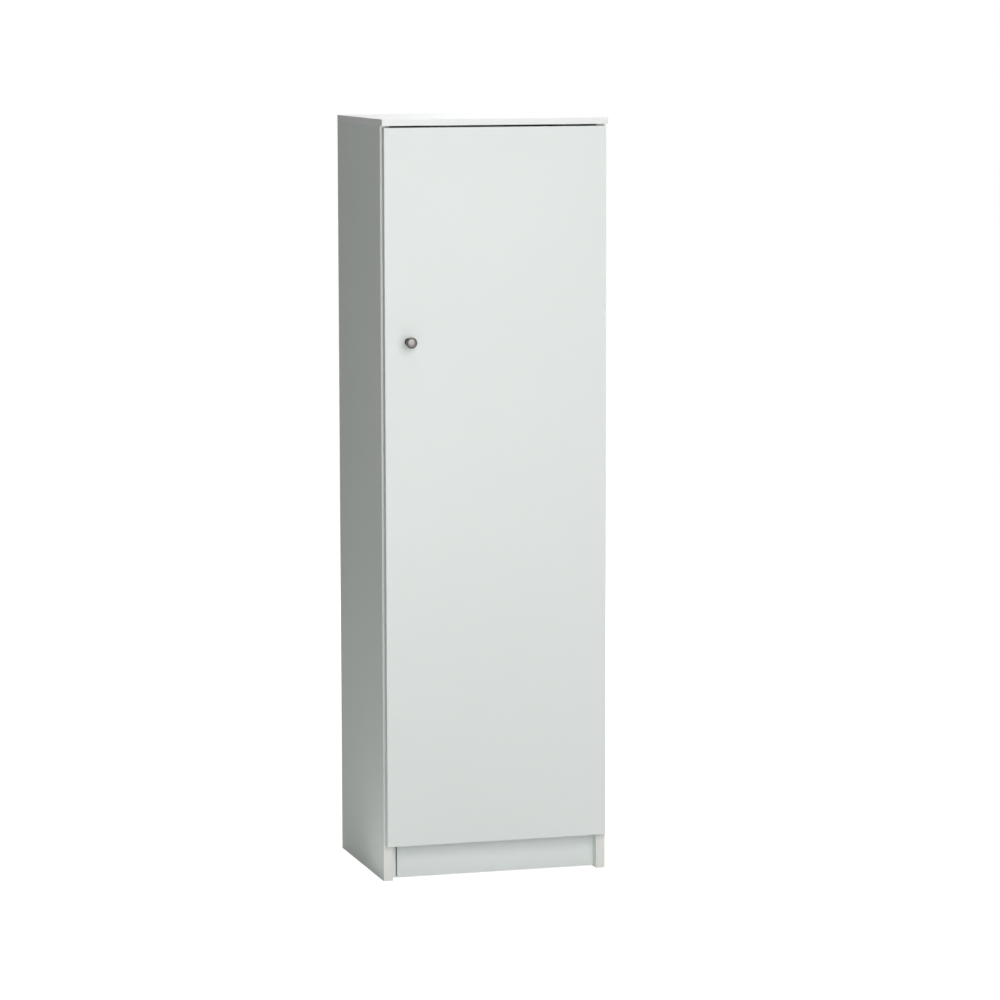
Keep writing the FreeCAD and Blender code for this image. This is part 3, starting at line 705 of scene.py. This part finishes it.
for node, head, body in (("block_screws", wood_head, "carcass"),
                         ("plate_screws", plate_head, "carcass"),
                         ("arm_screws", plate_head, "carcass"),
                         ("catch_screws", wood_head, "carcass"),
                         ("bracket_screws", wood_head, "carcass"),
                         ("cup_screws", cup_head, "door"),
                         ("strike_screws", flush_head, "door"),
                         ("knob_screw", knob_head, "door")):
    found = standing(node)
    screws = copies(screw_body(found[0][2], *head), at_ends(found))
    new_piece("cross_head_" + node, screws, zinc, body, "zinc_steel", node)

# ------------------------ shelf pins
# Zinc plated pegs pushed into the bored rows, each with a collar against the board and a
# flat tongue on top that the shelf lies on.
pin_radius = 0.0025
pin_end = 0.00175
pin_neck = 0.002425
pin_round = 0.0004
pin_out = 0.0090
pin_sides = 28
pin_collar = 0.0033
pin_collar_thickness = 0.0007
pin_collar_gap = 0.0001
pin_tongue_width = 0.0080
pin_tongue_thickness = 0.0012
pin_tongue_length = 0.0080
pin_tongue_corner = 0.0012
pin_tongue_ease = 0.0002
cutter_reach = 1.0
corner_steps = 8
break_angle = math.radians(40)


def rounded(width, length, radius, steps=corner_steps):
    """Outline of a rectangle about the middle with round corners."""
    points = []
    for turn, (side, end) in enumerate(((1, 1), (-1, 1), (-1, -1), (1, -1))):
        centre = (side * (width / 2 - radius), end * (length / 2 - radius))
        for step in range(steps + 1):
            angle = math.pi / 2 * (turn + step / steps)
            point = (centre[0] + radius * math.cos(angle), centre[1] + radius * math.sin(angle))
            if not points or math.dist(point, points[-1]) > radius * 0.01:
                points.append(point)
    if math.dist(points[0], points[-1]) < radius * 0.01:
        points.pop()
    return points


def softened(shape, width, segments=2):
    """Rounds the sharp edges of a drawn body."""
    edges = [edge for edge in shape.edges
             if len(edge.link_faces) == 2 and edge.calc_face_angle() > break_angle]
    bmesh.ops.bevel(shape, geom=edges, offset=width, segments=segments, profile=0.5,
                    affect="EDGES", clamp_overlap=True)
    return shape


pins = standing("shelf_pins")
pin_length = pins[0][2]
collar_low = pin_collar_gap - pin_out
collar_high = collar_low + pin_collar_thickness
peg = turned([(-pin_length, pin_end), (pin_round - pin_length, pin_radius),
              (collar_low, pin_radius), (collar_low, pin_collar), (collar_high, pin_collar),
              (collar_high, pin_neck), (-pin_round, pin_neck), (0, pin_end)], pin_sides)
tongue = slab(rounded(pin_tongue_width, 2 * pin_tongue_length, pin_tongue_corner),
              pin_tongue_thickness)
rear_half = brick((-cutter_reach, -cutter_reach, -cutter_reach), (cutter_reach, 0, cutter_reach))
tongue = moved(softened(carved(tongue, rear_half), pin_tongue_ease),
               turned_to((pin_radius - pin_tongue_thickness, 0, -pin_tongue_length),
                         (1, 0, 0), (0, 1, 0)))
pin_places = []
for (low, high, _), (end, out, _) in zip(separate_solids("shelf_pins"), pins):
    pin_places.append(turned_to((end.x, end.y, high.z - pin_radius), out, (0, 0, 1)))
new_piece("tongued_shelf_pins", copies(together(peg, tongue), pin_places), zinc, "carcass",
          "zinc_steel", "shelf_pins")

# ------------------------ rows of shelf pin holes
# Round 5 mm holes drilled into the left side and the partition for the pins: one at each pin,
# one above it and one below, so that a shelf can be set higher or lower.
pin_hole_pitch = 0.0320
pin_hole_depth = 0.0085
pin_hole_play = 0.00002
for node, way_out in (("left_side", 1), ("partition", -1)):
    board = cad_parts[node]
    blank = bmesh.new()
    blank.from_mesh(board.data)
    bmesh.ops.remove_doubles(blank, verts=blank.verts, dist=same_corner)
    drill = turned([(-pin_out - pin_hole_depth, pin_radius + pin_hole_play),
                    (0, pin_radius + pin_hole_play)], pin_sides)
    holes = copies(drill, [place @ Matrix.Translation((step * pin_hole_pitch, 0, 0))
                           for place in pin_places if place.col[2].x * way_out > 0
                           for step in (-1, 0, 1)])
    bored = new_piece("drilled_" + node, carved(blank, holes), board.data.materials[0],
                      "carcass", "white_board", node)
    for face in bored.data.polygons:
        face.use_smooth = False
    eased(bored, board_edge_ease)

# ------------------------ hinge plates and arms
# Nickel plated pressed steel. A plate with round-ended wings is screwed to the right side,
# and a channel-shaped arm is bolted over its spine. The arm's neck is bent round the front
# edge of the side and ends in an eye for the pivot pin.
nickel_bright = (0.690, 0.670, 0.630, 1)
nickel_dull = (0.560, 0.540, 0.500, 1)
nickel_skin = (0.26, 2500.0, 0.00001)
wing_width = 0.0220
wing_metal = 0.0020
wing_ease = 0.0005
wing_steps = 16
spine_width = 0.0100
spine_corner = 0.0015
spine_ease = 0.0006
web_metal = 0.0020
web_ease = 0.0002
cheek_metal = 0.0014
arm_setback = 0.0120
arm_corner = 0.0014
arm_corner_steps = 6
arm_screw_inset = 0.0080
arm_slot = (0.0052, 0.0125)
neck_width = 0.0070
neck_metal = 0.0020
neck_bend = 0.0032
neck_ease = 0.00025
neck_rise_x = 0.0035
neck_rise_y = 0.0020
eye_radius = 0.0024
eye_bore = 0.00133
eye_outside = [(-0.5, 0.93), (-0.47, 1), (0.47, 1), (0.5, 0.93)]
eye_sides = 40
bend_steps = 6


def quarter_turn(steps):
    """Angles in even steps up to a right angle."""
    return [math.pi / 2 * step / steps for step in range(steps + 1)]


def bent_path(points, bend):
    """A run of points whose turns are rounded."""
    path = [points[0]]
    for before, corner, after in zip(points, points[1:], points[2:]):
        arrive = (corner - before).normalized()
        leave = (after - corner).normalized()
        turn = arrive.angle(leave)
        cut = min(bend * math.tan(turn / 2), 0.45 * (corner - before).length,
                  0.45 * (after - corner).length)
        start, end = corner - arrive * cut, corner + leave * cut
        for step in range(bend_steps + 1):
            share = step / bend_steps
            path.append(start * (1 - share) ** 2 + corner * 2 * share * (1 - share)
                        + end * share ** 2)
    path.append(points[-1])
    return path


def strip(path, metal, width):
    """Sheet metal seen on edge in plan along a path, its width centred on zero."""
    left, right = [], []
    for step, point in enumerate(path):
        before = path[max(step - 1, 0)]
        after = path[min(step + 1, len(path) - 1)]
        run = (after - before).normalized()
        across = Vector((-run.y, run.x)) * metal / 2
        left.append(point + across)
        right.append(point - across)
    outline = [(point.x, point.y) for point in left + right[::-1]]
    return moved(slab(outline, width), Matrix.Translation((0, 0, -width / 2)))


nickel = metal_finish("nickel_plating", nickel_bright, nickel_dull, *nickel_skin)
side_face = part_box("hinge_plates")[1].x
side_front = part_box("right_side")[0].y
arm_low, arm_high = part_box("hinge_arms")
pin_low, pin_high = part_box("hinge_pins")
pivot = (pin_low + pin_high) / 2
plate_boxes = [(low, high) for low, high, _ in separate_solids("hinge_plates")]
hinge_heights = [(low.z + high.z) / 2 for low, high in plate_boxes]
plate_low, plate_high = plate_boxes[0]
wing_length = plate_high.z - plate_low.z
spine_length = plate_high.y - plate_low.y
spine_rise = plate_high.x - plate_low.x
plate_y = min(corner.y for corner in separate_solids("hinge_plates")[0][2]
              if corner.z > hinge_heights[0] + spine_width) + wing_width / 2
spine_y = (plate_low.y + plate_high.y) / 2
wings = softened(slab(rounded(wing_width, wing_length, wing_width / 2, wing_steps), wing_metal),
                 wing_ease)
spine = softened(slab(rounded(spine_length, spine_width, spine_corner), spine_rise), spine_ease)
into_room = Vector((-1, 0, 0))
plate = together(moved(wings, turned_to((side_face, plate_y, 0), into_room, (0, 1, 0))),
                 moved(spine, turned_to((side_face, spine_y, 0), into_room, (0, 1, 0))))
at_each_hinge = [Matrix.Translation((0, 0, height)) for height in hinge_heights]
new_piece("winged_hinge_plates", copies(plate, at_each_hinge), nickel, "carcass", "nickel_steel",
          "hinge_plates")

arm_width = min(high.z - low.z for low, high, _ in separate_solids("hinge_arms"))
web_face = arm_low.x
arm_front = side_front + arm_setback
cheek_reach = max(corner.x for corner in separate_solids("hinge_arms")[0][2]
                  if corner.y > arm_front + web_metal) - web_face
arm_length = arm_high.y - arm_front
half = arm_width / 2
corner_arc = [(arm_corner - arm_corner * math.sin(turn),
               half - arm_corner + arm_corner * math.cos(turn))
              for turn in quarter_turn(arm_corner_steps)]
channel = ([(cheek_reach, half)] + corner_arc + [(x, -y) for x, y in reversed(corner_arc)]
           + [(cheek_reach, -half), (cheek_reach, cheek_metal - half),
              (web_metal, cheek_metal - half), (web_metal, half - cheek_metal),
              (cheek_reach, half - cheek_metal)])
slot = moved(slab(rounded(arm_slot[1], arm_slot[0], arm_slot[0] / 2), 4 * web_metal),
             turned_to((-2 * web_metal, 0, arm_length - arm_screw_inset), (1, 0, 0), (0, 0, 1)))
web = softened(carved(slab(channel, arm_length), slot), web_ease, 1)
web = moved(web, turned_to((web_face, arm_front, 0), (0, 1, 0), (1, 0, 0)))
web_x = web_face + web_metal / 2
neck_x = side_face - neck_rise_x
into_eye = math.copysign(eye_radius * 0.8, neck_x - pivot.x)
neck_points = [Vector((pivot.x + into_eye, pivot.y)), Vector((neck_x, pivot.y)),
               Vector((neck_x, side_front + neck_rise_y)), Vector((web_x, arm_front)),
               Vector((web_x, arm_front + 2 * web_metal))]
neck = softened(strip(bent_path(neck_points, neck_bend), neck_metal, neck_width), neck_ease, 1)
eye = turned([(-neck_width / 2, eye_bore)] + scaled(eye_outside, neck_width, eye_radius)
             + [(neck_width / 2, eye_bore)], eye_sides, closed=True)
eye = moved(eye, Matrix.Translation((pivot.x, pivot.y, 0)))
new_piece("necked_hinge_arms", copies(together(web, neck, eye), at_each_hinge), nickel,
          "carcass", "nickel_steel", "hinge_arms")

# ------------------------ hinge cups and pins
# Each cup is drawn from nickel plated sheet steel with a rounded foot, and is sunk in the
# back of the door. Its flange carries a bar with two round ears for the screws, and the
# pivot pin is riveted between its walls.
cup_radius = 0.0174
cup_wall = 0.0010
cup_depth = 0.0125
cup_foot = 0.0022
cup_foot_steps = 5
cup_middle = 0.001
cup_sides = 72
flange_radius = 0.0186
flange_metal = 0.0010
flange_round = 0.0003
lip_play = 0.0001
ear_width = 0.0110
ear_offset = 0.0095
ear_spacing = 0.0480
ear_steps = 14
ear_ease = 0.0002
pivot_radius = 0.00125
pivot_round = 0.0003
pivot_sides = 32


def cup_wall_rings(radius, bottom, foot):
    """Rings up round the foot of a drawn cup."""
    return [(bottom + foot * (1 - math.cos(turn)), radius - foot * (1 - math.sin(turn)))
            for turn in quarter_turn(cup_foot_steps)]


cup_inside = cup_radius - cup_wall
outer_rings = [(-cup_depth, cup_middle)] + cup_wall_rings(cup_radius, -cup_depth, cup_foot)
inner_rings = [(cup_wall - cup_depth, cup_middle)] + cup_wall_rings(
    cup_inside, cup_wall - cup_depth, cup_foot - cup_wall)
lip = [(0, cup_radius), (0, flange_radius), (flange_metal * 0.7, flange_radius),
       (flange_metal, flange_radius - flange_round),
       (flange_metal, cup_inside + 2 * flange_round),
       (flange_metal * 0.7, cup_inside + lip_play)]
bowl = turned(outer_rings + lip + inner_rings[::-1], cup_sides)
opening = turned([(-cup_depth, cup_inside), (cup_depth, cup_inside)], cup_sides)
ears = slab(rounded(ear_width, ear_spacing + ear_width, ear_width / 2, ear_steps), flange_metal)
ears = carved(moved(ears, Matrix.Translation((-ear_offset, 0, 0))), opening)
cup = together(bowl, softened(ears, ear_ease, 1))
cup_places = []
for low, high, _ in separate_solids("hinge_cups"):
    place = (high.x - flange_radius, high.y - flange_metal, (low.z + high.z) / 2)
    cup_places.append(turned_to(place, (0, 1, 0), (1, 0, 0)))
new_piece("drawn_hinge_cups", copies(cup, cup_places), nickel, "door", "nickel_steel",
          "hinge_cups")

pivots = standing("hinge_pins")
pivot_length = pivots[0][2]
rivet = turned([(-pivot_length, pivot_radius * 0.6), (pivot_round - pivot_length, pivot_radius),
                (-pivot_round, pivot_radius), (0, pivot_radius * 0.6)], pivot_sides)
new_piece("riveted_hinge_pins", copies(rivet, at_ends(pivots)), nickel, "door", "nickel_steel",
          "hinge_pins")

# ------------------------ magnetic catch
# A white moulded housing screwed to the left side, with a dark ferrite magnet in its
# mouth. Its edges are rounded as they leave the mould.
housing_white = (0.82, 0.82, 0.80, 1)
housing_white_deep = (0.78, 0.78, 0.76, 1)
housing_skin = (0.4, 1200.0, 0.00002)
housing_ease = 0.0007
magnet_grey = (0.05, 0.05, 0.055, 1)
magnet_grey_deep = (0.03, 0.03, 0.033, 1)
magnet_skin = (0.55, 2000.0, 0.00005)
magnet_ease = 0.0003
moulded = plain_finish("moulded_white", housing_white, housing_white_deep, *housing_skin)
eased(dress("catch_housing", moulded), housing_ease, 3)
ferrite = plain_finish("ferrite_block", magnet_grey, magnet_grey_deep, *magnet_skin)
eased(dress("catch_magnet", ferrite), magnet_ease)

# ------------------------ wall bracket
# Zinc plated sheet steel, punched and then bent to an angle. One leg is screwed under the
# top, and the wall screws go through the other.
bracket_metal = 0.0020
bracket_bend = 0.0030
bracket_ease = 0.0003
wall_hole_radius = 0.00275
wall_hole_spacing = 0.0320
wall_hole_drop = 0.0220
bracket_screw_hole = 0.0020
bracket_low, bracket_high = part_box("wall_bracket")
top_leg_height = bracket_high.z - bracket_metal / 2
wall_leg_place = bracket_high.y - bracket_metal / 2
bracket_line = bent_path([Vector((bracket_low.y, top_leg_height)),
                          Vector((wall_leg_place, top_leg_height)),
                          Vector((wall_leg_place, bracket_low.z))], bracket_bend)
bracket = moved(strip(bracket_line, bracket_metal, bracket_high.x - bracket_low.x),
                turned_to((0, 0, 0), (1, 0, 0), (0, 1, 0)))
punches = [(wall_hole_radius, (side * wall_hole_spacing / 2, wall_leg_place,
                               bracket_high.z - wall_hole_drop), (0, 1, 0)) for side in (-1, 1)]
punches += [(bracket_screw_hole, (end.x, end.y, top_leg_height), out)
            for end, out, _ in standing("bracket_screws")]
bracket = carved(bracket, *[moved(turned([(-bracket_metal, radius), (bracket_metal, radius)],
                                         screw_sides), turned_to(place, way))
                            for radius, place, way in punches])
eased(new_piece("bent_wall_bracket", bracket, zinc, "carcass", "zinc_steel", "wall_bracket"),
      bracket_ease)

# ------------------------ strike plate
# Zinc plated sheet steel, blanked and tumbled so that its edges are soft. It is screwed to
# the back of the door, where the catch's magnet meets it.
strike_ease = 0.0003
eased(dress("strike_plate", zinc), strike_ease)

# ------------------------ door
# One foiled board, banded all round with its arrises broken. Hinge cups, knob screw and
# strike plate sit in its back.
dress("door_panel", board_finish("door_panel", Y, banded_round(Y)))

# ------------------------ door buffers
# Two clear soft plastic pads stuck to the back of the door, which set the gap to the side.
buffer_radius = 0.0040
buffer_sides = 36
buffer_clear = (0.70, 0.70, 0.68, 1)
buffer_deep = (0.64, 0.64, 0.62, 1)
buffer_skin = (0.35, 1500.0, 0.00002)
buffer_dome = [(0, 0.9), (0, 1), (0.25, 1), (0.55, 0.93), (0.8, 0.77), (0.95, 0.5), (1, 0.2)]
pad_finish = plain_finish("soft_pad", buffer_clear, buffer_deep, *buffer_skin)
pad_boxes = [(low, high) for low, high, _ in separate_solids("door_buffers")]
pad_height = pad_boxes[0][1].y - pad_boxes[0][0].y
pad = turned(scaled(buffer_dome, pad_height, buffer_radius), buffer_sides)
pad_places = [turned_to(((low.x + high.x) / 2, low.y, (low.z + high.z) / 2), (0, 1, 0))
              for low, high in pad_boxes]
new_piece("soft_door_pads", copies(pad, pad_places), pad_finish, "door", "soft_buffer",
          "door_buffers")

# ------------------------ knob
# Turned metal: a small foot, a waisted neck and a round head. Neck and rim are blackened,
# the foot and neck darkest with painted shade where the head shades them, and the slightly
# crowned face is rubbed back to satin metal.
knob_foot = 0.0088
knob_foot_thickness = 0.0016
knob_waist = 0.0056
knob_shoulder = 0.0116
knob_shoulder_reach = 0.0255
knob_head_radius = 0.0130
knob_face = 0.0082
knob_crown = 0.0009
# The near-black of foot and neck is partly the blackened finish and partly painted shade under
# the head.
knob_black_and_neck_shade = (0.022, 0.018, 0.017, 1)
knob_rim = (0.102, 0.099, 0.094, 1)
knob_satin = (0.150, 0.143, 0.136, 1)
knob_skin = (0.3, 2500.0, 0.00001)
wear_grain = 420.0
wear_share = 0.02
knob_foot_round = 0.0003
knob_rim_lean = 0.0003
knob_middle = 0.0001
knob_sides = 96
knob_steps = 16
crown_steps = 8


def arc_through(first, middle, last, steps):
    """Points along the circle through three points."""
    (ax, ay), (bx, by), (cx, cy) = first, middle, last
    scale = 2 * (ax * (by - cy) + bx * (cy - ay) + cx * (ay - by))
    a, b, c = ax * ax + ay * ay, bx * bx + by * by, cx * cx + cy * cy
    centre = Vector(((a * (by - cy) + b * (cy - ay) + c * (ay - by)) / scale,
                     (a * (cx - bx) + b * (ax - cx) + c * (bx - ax)) / scale))
    start = Vector(first) - centre
    turn = start.angle_signed(Vector(last) - centre)
    points = []
    for step in range(steps + 1):
        spoke = start.copy()
        spoke.rotate(Matrix.Rotation(-turn * step / steps, 2))
        points.append(tuple(centre + spoke))
    return points


def knob_finish(base, reach):
    """Blackened metal from the foot to the rim, darkest on the foot and neck as painted shade,
    rubbed bright on the face.
    """
    roughness, grain, rise = knob_skin
    material, tree, shader, place = new_finish("rubbed_metal_and_painted_shade", roughness, metallic=1.0)
    axes = add_node(tree, "SeparateXYZ", {"Vector": place}).outputs
    out = math_node(tree, "DIVIDE", math_node(tree, "SUBTRACT", base, axes[Y]), reach)
    worn = times(tree, noise(tree, place, wear_grain, detail=3.0), wear_share)
    tone = math_node(tree, "ADD", out, worn)
    coloured(tree, shader, ramp(tree, tone, (0.0, knob_black_and_neck_shade), (0.66, knob_black_and_neck_shade),
                                (0.80, knob_rim), (0.955, knob_rim), (0.985, knob_satin),
                                (1.0, knob_satin)))
    bumped(tree, shader, noise(tree, place, grain), rise)
    return material


knob_low, knob_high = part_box("knob")
knob_reach = knob_high.y - knob_low.y
knob_waist_reach = (knob_foot_thickness + knob_shoulder_reach) / 2
face_edge = knob_reach - knob_crown
neck_arc = arc_through((knob_foot_thickness, knob_foot), (knob_waist_reach, knob_waist),
                       (knob_shoulder_reach, knob_shoulder), knob_steps)
rim_reach = (knob_shoulder_reach + face_edge) / 2 - knob_rim_lean
rim_arc = arc_through((knob_shoulder_reach, knob_shoulder), (rim_reach, knob_head_radius),
                      (face_edge, knob_face), knob_steps)
face_arc = [(face_edge + knob_crown * math.sin(turn), knob_face * math.cos(turn) + knob_middle)
            for turn in quarter_turn(crown_steps)[1:]]
knob_profile = ([(0, knob_foot * 0.96), (knob_foot_round, knob_foot)]
                + neck_arc + rim_arc[1:] + face_arc)
knob_place = ((knob_low.x + knob_high.x) / 2, knob_high.y, (knob_low.z + knob_high.z) / 2)
new_piece("turned_knob", moved(turned(knob_profile, knob_sides),
                               turned_to(knob_place, (0, -1, 0), (1, 0, 0))),
          knob_finish(knob_high.y, knob_reach), "door", "satin_nickel", "knob")

# ------------------------ floor, light and camera
# A plain pale floor and a white backdrop. A large soft lamp stands in front, one hangs
# over the top, and two behind light the back and the right side. The left side stays in
# shade, with a weak lamp at its front edge and a card of light on the floor at its foot.
floor_size = 80.0
floor_grey = (0.8, 0.8, 0.8, 1)
glow_near = 0.80
glow_far = 1.0
glow_starts = 1.2
glow_ends = 4.0
aim = Vector((0, 0, 0.95))
lamps = {
    # turn to the right and rise in degrees, distance and size in metres, power in watts
    "front_lamp": (0, 16, 3.5, 3.0, 90),
    "left_lamp": (-35, 8, 1.8, 0.8, 1.5),
    "top_lamp": (0, 85, 3.0, 2.5, 38),
    "rear_lamp": (150, 35, 4.5, 2.5, 45),
    "right_lamp": (125, 8, 4.0, 2.5, 44),
}
card_place = (-0.46, -0.20, 0.002)
card_size = 0.3
card_power = 0.2
camera_place = (-2.5983, -9.1585, 2.0253)
camera_turn = math.radians(16.2068)
camera_dip = math.radians(6.9425)
camera_roll = math.radians(-0.1192)
camera_lens = 146.01
film_width = 36.0
camera_reach = 200.0


def seen_directly(tree):
    """1 for rays from the eye, from gloss and through glass, which show a white backdrop."""
    rays = add_node(tree, "LightPath").outputs
    seen = math_node(tree, "MAXIMUM", rays["Is Camera Ray"], rays["Is Glossy Ray"])
    return math_node(tree, "MAXIMUM", seen, rays["Is Transmission Ray"])


def soft_lamp(name, size, power, place):
    """A square lamp that shines downwards until it is turned."""
    data = bpy.data.lights.new(name, "AREA")
    data.shape = "SQUARE"
    data.size = size
    data.energy = power
    lamp = put_in_scene(name, data)
    lamp.location = place
    return lamp


bpy.ops.mesh.primitive_plane_add(size=floor_size, location=(0, 0, 0))
floor = bpy.context.object
floor.name = "floor"
floor_material = bpy.data.materials.new("floor_paper")
floor_material.use_nodes = True
tree = floor_material.node_tree
tree.nodes.clear()
paper = add_node(tree, "BsdfDiffuse", {"Color": floor_grey}).outputs[0]
place = add_node(tree, "TexCoord").outputs["Object"]
away = add_node(tree, "VectorMath", {0: place}, operation="LENGTH").outputs["Value"]
rising = add_node(tree, "MapRange", {"Value": away, "From Min": glow_starts,
                                     "From Max": glow_ends, "To Min": glow_near,
                                     "To Max": glow_far},
                  interpolation_type="SMOOTHSTEP").outputs["Result"]
glow = times(tree, seen_directly(tree), rising)
shine = add_node(tree, "Emission", {"Color": (1, 1, 1, 1), "Strength": glow}).outputs[0]
add_node(tree, "OutputMaterial",
         {"Surface": add_node(tree, "AddShader", {0: paper, 1: shine}).outputs[0]})
floor.data.materials.append(floor_material)

world = bpy.data.worlds.new("studio")
bpy.context.scene.world = world
world.use_nodes = True
tree = world.node_tree
tree.nodes.clear()
air = add_node(tree, "Background", {"Color": (1, 1, 1, 1),
                                    "Strength": seen_directly(tree)}).outputs[0]
add_node(tree, "OutputWorld", {"Surface": air})

for name, (turn, rise, distance, size, power) in lamps.items():
    turn, rise = math.radians(turn), math.radians(rise)
    away = Vector((math.sin(turn) * math.cos(rise), -math.cos(turn) * math.cos(rise),
                   math.sin(rise)))
    lamp = soft_lamp(name, size, power, aim + away * distance)
    lamp.rotation_euler = away.to_track_quat("Z", "Y").to_euler()

card = soft_lamp("floor_card", card_size, card_power, card_place)
card.rotation_euler = (math.pi, 0, 0)
card.visible_camera = False
card.visible_glossy = False

camera_data = bpy.data.cameras.new("camera")
camera_data.lens = camera_lens
camera_data.sensor_width = film_width
camera_data.clip_end = camera_reach
camera = put_in_scene("camera", camera_data)
camera.matrix_world = (Matrix.Translation(camera_place)
                       @ Matrix.Rotation(-camera_turn, 4, "Z")
                       @ Matrix.Rotation(math.pi / 2 - camera_dip, 4, "X")
                       @ Matrix.Rotation(camera_roll, 4, "Z"))
bpy.context.scene.camera = camera
bpy.context.scene.view_settings.view_transform = "Standard"
